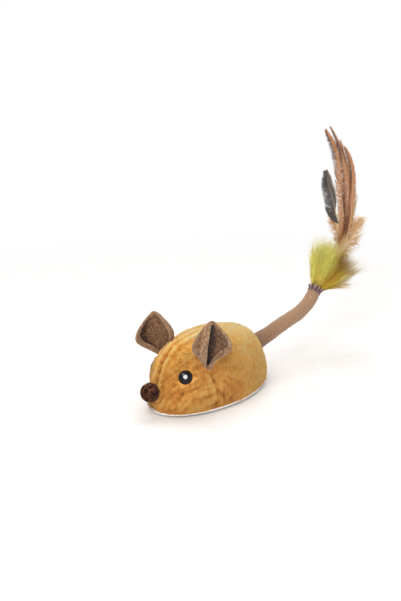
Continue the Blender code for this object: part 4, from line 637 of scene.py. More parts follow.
def relief(points):
    """How far the cover stands out from the plain skin, in metres."""
    x, y, z = np.abs(points[..., 0]), points[..., 1], points[..., 2]
    mirrored, eye, crease, ahead = landmarks(points)
    height = 0.0006 * lumps(points, 0.017, 3) + 0.0003 * lumps(points, 0.007, 4)
    seam = 0.0009 * bell(x - 0.0030, 0.0016) - 0.0007 * bell(x, 0.0009)
    seam = seam - 0.0005 * bell(x - 0.0070, 0.0020)
    height += np.maximum(rise(y, 0.002, -0.012), 0.25) * seam
    height -= 0.0011 * bell(y + 0.026, 0.012) * rise(z, 0.036, 0.008)
    height -= 0.0006 * bell(y + 0.050, 0.010) * bell(z - 0.031, 0.009) * bell(x, 0.009)
    height += rise(y, 0.030, 0.015) * (0.0012 * bell(z - 0.009, 0.009) - 0.0009 * bell(z - 0.038, 0.012))
    cheek = 0.0012 * bell(crease - 0.0022, 0.0020) * rise(ahead, 0, 0.0008)
    height += cheek - 0.0013 * bell(crease, 0.0013)
    height += 0.0014 * bell(eye - 0.0066, 0.0019) - 0.0012 * bell(eye, 0.0046)
    height += 0.0014 * bell(np.linalg.norm(mirrored - EAR_FOOT, axis=-1), 0.0050)
    height += 0.0005 * rise(z, 0.042, 0.008)
    chin = bell(z - 0.0075, 0.0035) * (y < 0.02)
    height += 0.0006 * chin * (1 + lumps(points, 0.004, 9))
    deep = np.minimum(height + HOLLOW_FROM, 0)
    return np.maximum(height, -HOLLOW_FROM) - HOLLOW_SPAN * (1 - np.exp(deep / HOLLOW_SPAN))


print("relief at the eye in mm:", np.round(1000 * relief(EYES[1][0][None])[0], 2))

# %% [markdown]
# ## Plush cloth
#
# The cover is sewn from a left and a right half that meet along the middle. Each half is a grid that runs
# from the crown down to the hem, with a Solidify modifier for the cloth's thickness. The backing lies a
# little below the CAD skin, because the pile's tips are what reach it.

# %% The plush's finish and tone
plush_material = fabric(
    "golden_plush", [(0.16, 0.0011)], (0.0006,), 0.0003,
    (0.0, 146, 76, 22), (0.3, 226, 140, 50), (0.55, 255, 184, 80), (0.8, 255, 216, 124),
    (1.0, 255, 238, 184),
    Roughness=0.86, Sheen_Weight=0.6, Sheen_Roughness=0.35, Sheen_Tint=tint(255, 226, 180),
    Specular_IOR_Level=0.15,
)


def plush_tone(points, outward):
    """Lightness of the plush from 0 to 1. Paler on top and towards the back, partly the plush's own colour
    and partly painted light. Paler on the low front, darker low on the middle of the side and along the
    hem. Painted highlights on the seam's rolls and the cheek rolls, painted shade in the seam's grooves
    and the dart creases, and a pale ring round each eye.
    """
    x, y, z = np.abs(points[..., 0]), points[..., 1], points[..., 2]
    _, eye, crease, ahead = landmarks(points)
    # Paler on top and towards the back: partly the plush's own colour, partly painted light from above.
    pale = 0.28 * np.clip(outward[..., 2], 0, 1) ** 1.5 * np.maximum(rise(y, -0.045, 0.03), 0.35)
    pale = pale + 0.17 * rise(y, -0.005, 0.025) - 0.09 * bell(z - 0.012, 0.006) * bell(y + 0.005, 0.020)
    pale = pale + 0.05 * bell(z - 0.009, 0.005) * (y < -0.02) - 0.05 * bell(z - 0.003, 0.003)
    # Painted highlight on the rolls beside the seam, painted shade in the seam's grooves.
    seam_light_and_shade = 0.22 * bell(x - 0.0032, 0.0012) - 0.22 * bell(x, 0.0012) - 0.10 * bell(x - 0.0064, 0.0014)
    pale = pale + seam_light_and_shade * rise(y, 0, -0.012)
    # Pale ring round each eye; painted shade in the dart crease and a painted highlight on the cheek roll
    # ahead of it.
    pale = pale + 0.14 * bell(eye - 0.0050, 0.0007) - 0.30 * bell(crease, 0.0013)
    pale = pale + 0.12 * bell(crease - 0.0030, 0.0016) * (ahead > 0)
    return 0.51 + pale + (0.06 * lumps(points, 0.011, 21) + 0.05 * lumps(points, 0.0035, 22))


# %% The two halves of the cover
CLOTH_ROWS, CLOTH_COLUMNS = 100, 110
BACKING_INSET, CLOTH_THICKNESS, SEAM_GAP = 0.0017, 0.0014, 0.0002
# The backing's tone is this much lower than the pile's: painted shade under the pile.
BACKING_PAINTED_SHADE = 0.30


def half_cover(side):
    """One half's grid: rows from just below the crown to the hem, columns from the nose to the tail."""
    down = np.linspace(0, 1, CLOTH_ROWS + 1)[1:, None]
    around = side * np.linspace(0, np.pi, CLOTH_COLUMNS)[None]
    plain = skin(around, sine_of(down), BACKING_INSET)
    crown = skin(np.zeros(1), np.ones(1), BACKING_INSET)
    points = np.concatenate((crown, plain.reshape(-1, 3)))
    normals = np.concatenate(([[0.0, 0.0, 1.0]], directions(around, down)[0].reshape(-1, 3)))
    points = points + normals * relief(points)[:, None]
    points[:, 0] = side * np.maximum(side * points[:, 0], SEAM_GAP / 2)
    quads = grid_faces(CLOTH_ROWS, CLOTH_COLUMNS, first=1)
    top = np.arange(1, CLOTH_COLUMNS)
    fan = np.stack((0 * top, top + 1, top), -1)
    return points, faced(points, [quads, fan]), plush_tone(points, normals) - BACKING_PAINTED_SHADE


for side, name in SIDES:
    points, faces, tones = half_cover(side)
    looks = plush_material, "golden_plush"
    made = piece(f"plush_cloth_{name}", points, faces, *looks, f"plush_{name}", tone=tones)
    wall = made.modifiers.new("thickness", "SOLIDIFY")
    wall.thickness, wall.offset = CLOTH_THICKNESS, -1

# %% [markdown]
# ## Plush pile
#
# Short pile is what makes plush look soft. Roots are spread evenly by area over the skin. Each spike
# stands out a little, leans with the nap and gathers with its neighbours into tufts: the tips move up the
# slope of a noise field, so they meet where it peaks. The nap runs down the sides, back over the top,
# where it lies flatter, and forwards along the low front, where the tufts are longest.

# %% Roots spread evenly over the skin
PILE_COUNT, SPIKE_RADIUS = 60000, 0.00024
PILE_PARTS = (("front", 0.0, 1.35), ("rear", 1.35, np.pi))
PILE_SUNK, EYE_CLEAR = 0.0016, 0.0049
PILE_LENGTH, LONG_SHARE, LONG_TIMES = 0.0026, 0.07, 1.45


def scattered(side, from_around, to_around, count, seed):
    """Random places on part of the skin: grid cells are drawn by their area, then a spot in each."""
    rows, columns = 160, 160
    down = np.linspace(0.01, 1.0, rows + 1)
    around = np.linspace(from_around, to_around, columns + 1)
    points = skin(around[None, :], sine_of(down)[:, None])
    first, second = points[1:, 1:] - points[:-1, :-1], points[:-1, 1:] - points[1:, :-1]
    area = np.linalg.norm(np.cross(first, second), axis=-1).ravel() / 2
    random = np.random.default_rng(seed)
    drawn = (np.arange(count) + random.random(count)) / count * area.sum()
    cell = np.minimum(np.searchsorted(np.cumsum(area), drawn), len(area) - 1)
    row = cell // columns + random.random(count)
    column = cell % columns + random.random(count)
    return side * (around[0] + column * (around[1] - around[0])), down[0] + row * (down[1] - down[0])


def locks(around, down, plain):
    """Locks of the pile from -1 to 1: noise that is narrow across the nap and long along it."""
    low_front = rise(down, 0.55, 0.3) * rise(plain[:, 1], 0.015, -0.03)
    across = around * np.hypot(plain[:, 0], plain[:, 1]) + 0.045 * down * low_front
    wander = 0.0012 * lumps(plain, 0.006, 34)
    place = np.stack(((across + wander) / 0.0019, down * 0.068 / 0.0034, 0 * down), -1)
    tufts = 0.50 * lumps(plain, 0.0018, 36) + 0.42 * lumps(plain, 0.0010, 37)
    return (0.20 + 0.60 * low_front) * lumps(place, 1.0, 35) + tufts


def pile(side, from_around, to_around, seed):
    """Roots, tips, tones at root and tip, with painted shade at the roots, and shading normals of one part
    of the pile.
    """
    around, down = scattered(side, from_around, to_around, PILE_COUNT, seed)
    random = np.random.default_rng(seed + 100)
    outward, downward, forward = directions(around, down)
    across = np.cross(outward, downward)
    plain = skin(around, sine_of(down))
    mirrored, eye, _, _ = landmarks(plain)
    y, z = plain[:, 1], plain[:, 2]
    low, front, snout = rise(z, 0.020, -0.014), rise(y, 0.010, -0.050), rise(y, -0.030, -0.020)
    flank, upward = np.abs(outward[:, 0]), np.clip(outward[:, 2], 0, 1)
    length = PILE_LENGTH + 0.0014 * low * front - 0.0010 * snout * (1 - low) - 0.0008 * bell(eye, 0.008)
    length = length * (1 + 0.22 * random.normal(size=len(length)).clip(-2, 2))
    length = length * np.where(random.random(len(length)) < LONG_SHARE, LONG_TIMES, 1.0)
    swirl = 0.8 * lumps(plain, 0.009, 31) + 0.35 * random.normal(size=len(length))
    ahead = 0.2 * flank + 1.2 * low * front - 1.2 * upward - 0.6 * (1 - flank) * (1 - low)
    nap = downward * ((0.15 + 0.8 * flank) * (1 - 0.3 * low))[:, None] + forward * ahead[:, None]
    nap = nap + across * 0.7 * swirl[:, None]
    away = unit(mirrored - EYES[1][0]) * mirroring(plain)
    near_eye = bell(eye, 0.0075)[:, None]
    nap = unit(nap) * (1 - near_eye) + away * near_eye * 1.2
    root = plain + outward * (relief(plain) - PILE_SUNK)[:, None]
    here, step = lumps(plain, 0.0030, 33), 0.0002
    ways = (downward, across)
    slope = sum(((lumps(plain + step * way, 0.0030, 33) - here) / step)[:, None] * way for way in ways)
    lock = locks(around, down, plain)
    between_ears = bell(y + 0.026, 0.012) * rise(z, 0.036, 0.008)
    top = upward**3
    lift = length * (0.50 + 0.10 * here + 0.12 * lock - 0.15 * between_ears - 0.26 * top) - 0.0002 * top
    tip = root + outward * (lift + 0.0006)[:, None] + nap * (length * 0.80)[:, None] + 0.0000018 * slope
    tip[:, 2] = np.maximum(tip[:, 2], HEM_LEVEL - 0.0004)
    tones = plush_tone(plain, outward)
    tip_tone = tones + 0.08 * here + 0.30 * lock + 0.15 * random.normal(size=len(length))
    # Painted shade deep in the pile: the roots are darker than the tips.
    shaded_root_tone = tones - 0.24 + 0.22 * lock
    facing = unit(outward + 0.15 * nap + 0.16 * random.normal(size=outward.shape))
    return [values[eye > EYE_CLEAR] for values in (root, tip, shaded_root_tone, tip_tone, facing)]


# %% The pile's four pieces
for number, ((side, name), (part, start, end)) in enumerate(itertools.product(SIDES, PILE_PARTS)):
    roots, tips, shaded_root_tones, tip_tones, facing = pile(side, start, end, 50 + number)
    points, faces, uv = spikes(roots, tips, SPIKE_RADIUS, 70 + number)
    tones = np.repeat(shaded_root_tones[:, None], 4, 1)
    tones[:, 3] = tip_tones
    look = {"uv": uv, "normals": np.repeat(facing, 4, axis=0), "tone": tones.ravel()}
    piece(f"plush_pile_{name}_{part}", points, faces, plush_material, "golden_plush", **look)

# %% [markdown]
# ## Button eyes
#
# Each eye is a glossy black dome on a thin dark rim. It is turned on a lathe: a profile of radius and
# height is carried round the eye's axis. It replaces the CAD eye, whose dome has only a few flat facets.


# %% Eyes
def lathe(profile, steps, where, axis):
    """Surface of revolution: (radius, height) rows are carried round an axis through a point."""
    axis = unit(np.array(axis, float))
    side = unit(np.cross(axis, (0.31, 0.22, 0.92)))
    radius, height = np.array(profile, float).T
    rows = radius[1:-1, None, None] * circles(side, np.cross(axis, side), steps)
    rows = (rows + height[1:-1, None, None] * axis).reshape(-1, 3)
    points = np.concatenate(([height[0] * axis], rows, [height[-1] * axis])) + where
    return points, faced(points, capped(len(radius) - 2, steps, first=1))


EYE_RADIUS, EYE_HEIGHT, EYE_SINK = 0.0052, 0.0023, 0.0006
DOME_ROWS, EYE_STEPS = 15, 48
gloss = Finish("black_gloss", Roughness=0.05, Specular_IOR_Level=0.2)
eye_material = gloss.done(
    Base_Color=gloss.ramp(gloss.noise(0.002), (0.3, 9, 8, 9), (0.8, 20, 17, 16)),
    Roughness=gloss.noise(0.0004, detail=2.0) * 0.05 + 0.04,
)
angles = np.linspace(0, np.pi / 2, DOME_ROWS)
dome = np.stack((EYE_RADIUS * np.sin(angles), EYE_HEIGHT * np.cos(angles) - EYE_SINK), -1)
skirt = np.array(((EYE_RADIUS * 1.02, -0.0004), (EYE_RADIUS, -0.0012), (0, -0.0012))) - (0, EYE_SINK)
for side, name in SIDES:
    points, faces = lathe(np.concatenate((dome, skirt)), EYE_STEPS, *EYES[side])
    piece(f"eye_dome_{name}", points, faces, eye_material, "black_gloss", f"eye_{name}")

# %% [markdown]
# ## Felt nose
#
# The nose is a ball of rolled felt. A sphere on a grid gets uneven lumps, and short curled fibres stand
# on it, so its outline is fuzzy and not a clean circle.

# %% Nose
NOSE_FIBRES, FIBRE_RADIUS, FIBRE_OUT, FIBRE_CURL = 5200, 0.00017, 0.0008, 0.0007
nose_low, nose_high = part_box("nose_ball")
NOSE_RADIUS = (nose_high.x - nose_low.x) / 2
NOSE_AT = np.array((0.0, nose_low.y + NOSE_RADIUS, (nose_low.z + nose_high.z) / 2))
nose_material = fabric(
    "nose_felt", [(1.3, 0.0014, 5.0, 0.7)], (0.0005, 4.0), 0.0004,
    (0.1, 38, 16, 9), (0.45, 78, 40, 23), (0.9, 168, 112, 78),
    Roughness=0.95, Sheen_Weight=0.06, Sheen_Roughness=0.5, Specular_IOR_Level=0.05,
)
angles = np.linspace(0, np.pi, 44)
profile = (NOSE_RADIUS + 0.0001) * np.stack((np.sin(angles), np.cos(angles)), -1)
points, faces = lathe(profile, 64, NOSE_AT, (0, 0, 1))
points = points + unit(points - NOSE_AT) * (0.00060 * lumps(points, 0.0019, 41))[:, None]
tones = 0.30 + 0.15 * lumps(points, 0.0012, 42)
nose = piece("nose_felt_ball", points, faces, nose_material, "nose_felt", "nose_ball", tone=tones)

random = np.random.default_rng(43)
outward = unit(random.normal(size=(NOSE_FIBRES, 3)))
outward = outward[outward[:, 1] < 0.6]
roots = NOSE_AT + outward * (NOSE_RADIUS - 0.0002)
curl = np.cross(outward, random.normal(size=outward.shape))
tips = roots + outward * FIBRE_OUT + curl * FIBRE_CURL
points, faces, uv = spikes(roots, tips, FIBRE_RADIUS, 44)
clump = 0.36 + 1.5 * lumps(roots, 0.0011, 45)
tones = np.repeat(clump[:, None] + 0.2 * random.normal(size=(len(roots), 1)), 4, 1).ravel()
piece("nose_fibres", points, faces, nose_material, "nose_felt", uv=uv, tone=tones)

# %% [markdown]
# ## Ears
#
# An ear is a leaf of thick felt. Its foot is folded into a cone and it opens towards the tip. Across the
# leaf the section is an arc, so the felt keeps its width as it folds. The edge is turned in and sewn
# down: a thicker band with a line of stitching beside it. One closed loop runs over the leaf's face,
# round its edge and back, so the piece is solid felt with a rounded rim.

# %% The felt of the ears
ear_material = fabric(
    "ear_felt", [(1.2, 0.0012, 4.0, 0.65, (1.0, 1.0, 0.6)), (0.9, 0.0006)], (0.0005, 4.0), 0.0004,
    (0.0, 30, 16, 9), (0.2, 66, 42, 26), (0.45, 116, 82, 55), (0.7, 156, 120, 88), (1.0, 214, 186, 156),
    Roughness=0.95, Sheen_Weight=0.25, Sheen_Roughness=0.5, Specular_IOR_Level=0.1,
)
EAR_LEAN = (0.27, -0.12, 0.95)
EAR_LEAF = ((0, 0.30), (0.2, 0.58), (0.5, 1.0), (0.7, 0.82), (0.9, 0.36), (1, 0.05))
FELT_MIDDLE, FELT_HEM, HEM_SOFTNESS, STITCH_PITCH = 0.0013, 0.0025, 0.00018, 0.0010
FOOT_FOLD, FOOT_TWIST = math.radians(172), math.radians(48)
# Each ear: its foot, its length, half the felt's width, where it opens in degrees from the front, and
# its section as rows of (place over the leaf, across, ahead).
EARS = {
    1: (
        (0.0226, -0.0236, 0.0362), 0.0370, 0.0172, 58,
        ((-1, -0.20, 0.50), (-0.8, -0.50, 0.50), (-0.64, -0.72, 0.44), (-0.5, -0.79, 0.30),
         (-0.3, -0.58, 0.08), (0, 0, 0), (0.35, 0.37, 0.05), (0.7, 0.66, 0.22), (1, 0.82, 0.50)),
    ),
    -1: (
        (-0.0206, -0.0240, 0.0333), 0.0350, 0.0200, 27,
        ((-1, -0.80, 0.52), (-0.8, -0.72, 0.32), (-0.5, -0.48, 0.12), (-0.2, -0.19, 0.02),
         (0, 0, 0.04), (0.3, 0.30, 0.06), (0.6, 0.58, 0.20), (0.8, 0.68, 0.36), (1, 0.60, 0.56)),
    ),
}


def hem_width(side, over, up):
    """Width of the turned-in edge: wide on the outer lower side, and narrow towards the tip."""
    low = rise(up, 0.62, -0.25)
    if side > 0:
        return 0.0022 + 0.0044 * low * (over > 0) + 0.0018 * (over < 0)
    return 0.0024 + 0.0028 * low * (over < 0) + 0.0012 * (over < 0)


# %% The two ears
def ear(side):
    """Closed leaf: up runs to the tip, and a loop runs over the face, round the rim and back."""
    rows, loop = 72, 128
    foot, tall, half_felt, facing, section = EARS[side]
    up = np.linspace(-0.03, 1, rows)[:, None]
    turn = np.linspace(0, 2 * np.pi, loop + 1)[None, :-1]
    over = signed_power(np.cos(turn), 0.8)
    width = half_felt * np.maximum(eased(EAR_LEAF, np.clip(up, 0, 1)), 0.03)
    edge = np.minimum(width * (1 - np.abs(over)), (1 - up) * tall * 0.8 + 0.0001)
    hem_at = hem_width(side, over, up)
    hem = 1 / (1 + np.exp((edge - hem_at) / HEM_SOFTNESS))
    groove = bell(edge - hem_at - 0.0003, 0.0005)
    thickness = FELT_MIDDLE + (FELT_HEM - FELT_MIDDLE) * hem - 0.0007 * groove
    round_in = rise(edge, 0, 0.0011)
    half = thickness / 2 * np.sqrt(round_in * (2 - round_in)) * np.sign(np.sin(turn) + 1e-9)
    section = np.array(section)
    curves = [section[:, (0, k)] for k in (1, 2)]
    step = 0.01
    across, ahead = (eased(curve, over) for curve in curves)
    low, high = np.maximum(over - step, -1), np.minimum(over + step, 1)
    slope = [eased(curve, high) - eased(curve, low) for curve in curves]
    length = np.hypot(*slope)
    fold = np.clip(1 - (up + 0.02) / 0.42, 0, 1) ** 2 * np.clip(1.6 - 1.6 * up, 0, 1)
    fold = fold * fold * (3 - 2 * fold)
    bend = over * FOOT_FOLD + (FOOT_TWIST if side > 0 else 0)
    sideways = across * (1 - fold) + fold * np.sin(bend) / FOOT_FOLD * 1.25
    forwards = ahead * (1 - fold) + fold * (1 - np.cos(bend)) / FOOT_FOLD * 1.25
    normal_across = -slope[1] / length * (1 - fold) - np.sin(bend) * fold
    normal_ahead = slope[0] / length * (1 - fold) + np.cos(bend) * fold
    size = np.hypot(normal_across, normal_ahead) + 1e-9
    lean = unit(np.array((side * EAR_LEAN[0], *EAR_LEAN[1:])))
    facing = math.radians(facing)
    opening = np.array((math.sin(facing), -math.cos(facing), 0))
    opening = unit(opening - lean * (opening @ lean))
    sideway = np.cross(lean, opening)
    points = np.array(foot) + up[..., None] * tall * lean
    points = points + (sideways * width + half * normal_across / size)[..., None] * sideway
    points = points + (forwards * width + half * normal_ahead / size)[..., None] * opening
    rib = 0.00012 * np.cos(over * width / 0.0012 * np.pi) * (1 - hem)
    points = points + (rib + 0.00045 * lumps(points, 0.006, 60 + side))[..., None] * opening
    points = np.concatenate((points.reshape(-1, 3), points[0].mean(0)[None], points[-1].mean(0)[None]))
    reach = np.hypot(*np.diff(section[:, 1:], axis=0).T).sum()
    flat_size = reach * width.max(), tall * 1.03
    area = reach * width.mean() * flat_size[1]
    # Painted shade: the inner face is darker, most of all in the hollow of its fold, and the groove beside
    # the hem is darker between the stitches.
    shaded_inside = (np.sin(turn) > 0) * (1 - hem)
    hollow = bell(over + 0.22, 0.36) if side > 0 else 0.5 * bell(over + 0.66, 0.14)
    shade = 0.56 + 0.06 * hem - (0.10 + 0.70 * hollow) * shaded_inside - 0.34 * groove + 0 * up
    stitch = groove * (np.sin((up * tall + over * width) / STITCH_PITCH * np.pi) > 0.2) * 0.34
    tones = np.concatenate(((shade + stitch).ravel(), (0.5, 0.5)))
    return points, faced(points, capped(rows, loop)), tones, flat_size, area


for side, name in SIDES:
    points, faces, tones, flat_size, area = ear(side)
    felt = piece(f"ear_felt_{name}", points, faces, ear_material, "ear_felt", f"ear_{name}", tone=tones)

# %% [markdown]
# ## Tail
#
# The tail is a springy core in a sleeve of brushed fabric. The sleeve is a tube along a smooth route that
# starts in the plush and bends up at its end. It is thickest at its root, and the fabric wrinkles on the
# inner side of its bends.

# %% Tail fabric and route
TAIL_LEVEL, TAIL_SIZE, TAIL_RADIUS = 0.0297, (0.0710, 0.0266), 0.0047
TAIL_SHARES = pairs(
    0, 0, 180, 100, 360, 235, 520, 340, 680, 440, 790, 550, 890, 700, 950, 840, 1000, 1000,
)
TAIL_ROOT = skin(np.array([np.pi]), np.array([sine_at(TAIL_LEVEL)]))[0]
tail_line = route(TAIL_ROOT, TAIL_SIZE, TAIL_SHARES, 150)
TAIL_END = tail_line[-1]
onward = unit(tail_line[-1] - tail_line[-2])
print("tail ends at", np.round(1000 * TAIL_END, 1), "and points", np.round(onward, 2))

tail_material = fabric(
    "tail_fabric", [(0.5, 0.0007, 4.0, 0.55, (1.0, 0.6, 1.0))], (0.0005, 4.0), 0.0003,
    (0.1, 94, 64, 44), (0.5, 152, 116, 87), (0.9, 198, 164, 132),
    Roughness=0.92, Sheen_Weight=0.3, Sheen_Roughness=0.5, Specular_IOR_Level=0.12,
)


def tube(line, radius, steps):
    """Closed tube along a line in the middle plane, with a radius per ring or per point (rows, steps)."""
    along = unit(np.gradient(line, axis=0))
    side = np.broadcast_to(AXIS_X, along.shape)
    rings = line[:, None] + circles(side, np.cross(side, along), steps) * radius[..., None]
    points = np.concatenate((rings.reshape(-1, 3), line[:1], line[-1:]))
    return points, faced(points, capped(len(line), steps))


# %% The sleeve
SLEEVE_STEPS = 48
turns = np.arange(SLEEVE_STEPS)[None] * 2 * np.pi / SLEEVE_STEPS
sleeve_line = np.concatenate((tail_line[:1] - unit(tail_line[1] - tail_line[0]) * 0.004, tail_line))
share = np.linspace(0, 1, len(sleeve_line))[:, None]
swell = np.interp(share, (0, 0.10, 0.25, 0.5, 0.93, 1), (1.42, 1.32, 1.24, 1.20, 1.14, 1.02))
bend = np.linalg.norm(np.gradient(unit(np.gradient(sleeve_line, axis=0)), axis=0), axis=-1)[:, None]
inner = np.clip(bend * 28, 0, 1) * np.clip(-np.sin(turns) + 0.3, 0, 1)
wrinkles = 0.00016 * np.sin(share * 190 + 1.3 * np.cos(turns)) * inner
points, faces = tube(sleeve_line, TAIL_RADIUS * swell + wrinkles, SLEEVE_STEPS)
fuzz = 0.00022 * lumps(points, 0.0030, 71) + 0.00008 * lumps(points, 0.0011, 72)
middle = np.concatenate((np.repeat(sleeve_line, SLEEVE_STEPS, 0), sleeve_line[:1], sleeve_line[-1:]))
points = points + unit(points - middle) * fuzz[:, None]
tones = 0.50 - 0.20 * bell(share, 0.16) + 0.10 * share + 0 * turns
tones = np.concatenate((tones.ravel(), (0.3, 0.5)))
looks = tail_material, "tail_fabric"
sleeve = piece("tail_sleeve_fabric", points, faces, *looks, "tail_sleeve", tone=tones)

# %% [markdown]
# The cuff is the sleeve's end, drawn together by a thread. Its radius waves with the gathers, and the
# waves grow towards the free edge. The thread's turns draw in its waist.

# %% Gathered cuff
CUFF_ROWS, CUFF_STEPS = 28, 132
CUFF_LENGTH, CUFF_RADIUS, GATHERS = 0.0050, 0.0059, 11
cuff_material = fabric(
    "cuff_fabric", [(0.8, 0.0006)], (0.0004,), 0.0003,
    (0.1, 78, 52, 54), (0.5, 124, 94, 90), (0.9, 196, 168, 160),
    Roughness=0.92, Sheen_Weight=0.2,
)
share = np.linspace(0, 1, CUFF_ROWS)[:, None]
turns = np.arange(CUFF_STEPS)[None] * 2 * np.pi / CUFF_STEPS
waves = np.cos(GATHERS * turns + 1.2 * np.sin(2 * turns))
waist = 1 - 0.16 * bell(share - 0.38, 0.14)
radius = CUFF_RADIUS * waist * (0.92 + 0.12 * share) + (0.35 + 0.65 * share) * 0.00075 * waves
points, faces = tube(TAIL_END + onward * (share * CUFF_LENGTH - 0.0006), radius, CUFF_STEPS)
# The tone follows the gathers: painted highlights on their crests and painted shade in their folds, and a
# darker band at the waist.
shade = 0.35 + 0.45 * waves * (0.4 + 0.6 * share) - 0.2 * bell(share - 0.38, 0.1)
tones = np.concatenate((shade.ravel(), (0.1, 0.1)))
cuff = piece("tail_cuff_gathered", points, faces, cuff_material, "tail_fabric", "tail_cuff", tone=tones)

# %% [markdown]
# ## Down
#
# The puff is dyed down: soft strands that leave the cuff in locks, bend outwards and end in fine points.
# Strand by strand the direction, length and colour come from random numbers, and the colour follows the
# place: mint wisps on the left, yellow green and bright lime beside it, olive and brown shadows in the
# middle, and cream above and on the right.

# %% Down's finish and its place
down_material = dyed(
    "lime_down", 0.002, 214,
    Roughness=0.9, Sheen_Weight=0.15, Sheen_Roughness=0.5, Specular_IOR_Level=0.15,
)
FLUFF_ANGLE = math.radians(49)
PUFF_STRANDS, PUFF_LOCKS, PUFF_RINGS = 5600, 84, 7
DOWN_RADIUS, DOWN_WAVE = 0.00017, 0.0024
PUFF_REACH = pairs(-950, 22, -800, 34, -620, 43, -300, 42, 100, 40, 500, 38, 800, 33, 1000, 24)
# Colours of the down. Olive and brown are painted shadow in the middle of the puff; the rest are dyes.
DYES_AND_SHADOWS = {
    "lime": (250, 210, 66),
    "bright": (255, 240, 120),
    "olive": (160, 128, 56),
    "brown": (116, 84, 40),
    "mint": (190, 220, 140),
    "cream": (250, 218, 176),
    "orange": (226, 150, 44),
}
puff_root = TAIL_END + onward * 0.0036
puff_up = np.array((0, math.cos(FLUFF_ANGLE), math.sin(FLUFF_ANGLE)))
puff_over = np.array((0, -math.sin(FLUFF_ANGLE), math.cos(FLUFF_ANGLE)))
print("the puff opens from", np.round(1000 * puff_root, 1))


# %% The puff's strands
def painted(shade, layers, light):
    """Colours laid over a shade, as shade + (colour - shade) * amount, times light, with alpha 1."""
    for colour, amount in layers:
        shade = shade + (colour - shade) * np.clip(amount, 0, 1)[..., None]
    shade = np.clip(shade * light[..., None], 0, 1)
    return np.concatenate((shade, np.ones((*shade.shape[:2], 1))), -1)


def puff(side, seed):
    """Paths, radii and colours of strands that gather in locks and fan out beside the feathers."""
    random = np.random.default_rng(seed)
    lock_turn = random.uniform(-0.86, 0.70 if side > 0 else 0.52, PUFF_LOCKS)
    lock_depth = np.abs(random.normal(size=PUFF_LOCKS)) * (0.24 if side > 0 else 0.13)
    lock_length = eased(PUFF_REACH, lock_turn) * random.uniform(0.72, 1.16, PUFF_LOCKS)
    lock_bow = 0.40 * random.normal(size=PUFF_LOCKS) + 0.25 * lock_turn
    lock = random.integers(0, PUFF_LOCKS, (PUFF_STRANDS, 1))
    turn = lock_turn[lock] + 0.085 * random.normal(size=lock.shape)
    depth = side * np.abs(lock_depth[lock] + 0.06 * random.normal(size=lock.shape))
    length = lock_length[lock] * random.uniform(0.62, 1.08, lock.shape)
    share = np.linspace(0, 1, PUFF_RINGS)
    angle = turn * (0.72 + 0.38 * share) + lock_bow[lock] * (share - 0.35) * 0.7
    heading = puff_up * np.cos(angle)[..., None] + puff_over * np.sin(angle)[..., None]
    heading = heading + AXIS_X * (depth * (1.3 - 0.8 * share))[..., None]
    step = unit(heading) * (length / (PUFF_RINGS - 1))[..., None]
    start = puff_root + puff_over * (turn * 0.0040)[..., None] + AXIS_X * (depth * 0.008)[..., None]
    paths = start + np.cumsum(step, 1) - step
    wave = np.stack([lumps(paths, 0.007, seed + k) for k in (1, 2, 3)], -1)
    paths = paths + wave * (share**1.2)[:, None] * DOWN_WAVE
    return paths, DOWN_RADIUS * (1.15 - share) + 0 * turn, puff_colours(paths, share, lock, random)


def puff_colours(paths, share, lock, random):
    """Dyes and painted shadow laid over each other by where a point lies along and across the puff, and by
    chance, then brightened by chance, on the left, and by painted light on the lower right.
    """
    dye_and_shadow = {name: np.array(tint(*colour)[:3]) for name, colour in DYES_AND_SHADOWS.items()}
    up, over = (paths - puff_root) @ puff_up, (paths - puff_root) @ puff_over
    chance = random.random(lock.max() + 1)[lock]
    own = random.random(lock.shape)
    right, low = rise(over, -0.004, -0.006), rise(up, 0.024, -0.006)
    layers = (
        ("bright", rise(over, 0.001, 0.007) * (0.45 + 0.55 * chance)),
        ("bright", right * (0.2 + 0.6 * chance)),
        # Olive and brown: painted shadow in the middle of the puff.
        ("olive", bell(up - 0.030, 0.010) * bell(over + 0.001, 0.009) * (0.65 + 0.5 * own)),
        ("brown", bell(up - 0.028, 0.007) * bell(over + 0.010, 0.007) * (0.6 + 0.5 * chance)),
        ("cream", rise(over, -0.006, -0.005) * low * (0.3 + 0.5 * own)),
        ("orange", bell(over + 0.001, 0.0010) * bell(up - 0.020, 0.012) * 0.6),
        ("mint", rise(over, 0.0150, 0.003) * (0.1 + 0.6 * own)),
        ("cream", rise(share, 0.60, 0.25) * right * (0.4 + own)),
        ("cream", rise(up, 0.028, 0.006) * rise(over, 0.001, 0.004) * 0.5),
    )
    light = (0.72 + 0.5 * chance) * (0.82 + 0.36 * own) * (0.86 + 0.2 * share)
    light = light * (1 + 0.24 * rise(over, 0.005, 0.006))
    # Painted light on the lower right of the puff, which lies in shade.
    light = light * (1 + 0.28 * rise(over, -0.005, -0.005) * low)
    return painted(dye_and_shadow["lime"] + 0 * paths, [(dye_and_shadow[name], amount) for name, amount in layers], light)


for side, name in SIDES:
    paths, radii, shades = puff(side, 80 + side)
    points, faces, uv = strands(paths, radii, 90 + side)
    look = {"uv": uv, "shade": per_strand_point(shades)}
    piece(f"down_puff_{name}", points, faces, down_material, "lime_fluff", f"fluff_{name}", **look)

# %% [markdown]
# ## Feathers
#
# A feather is a shaft with two rows of barbs. Each barb leaves the shaft at a slant, curves towards the
# tip and overlaps the next, so together they read as a vane with fine slanting lines. Where neighbours
# cling to each other and part from the rest, the vane splits. The vanes lie one behind the other, in the
# slots of their CAD plates, and cup slightly like real ones.

# %% Routes, outlines and colours of the feathers
vane_material = dyed("feather_vane", 0.0015, 222, Roughness=0.7, Sheen_Weight=0.08, Sheen_Roughness=0.4)
PLUME_ROOT, PLUME_SIZE = TAIL_END + onward * 0.0003, (0.0450, 0.1325)
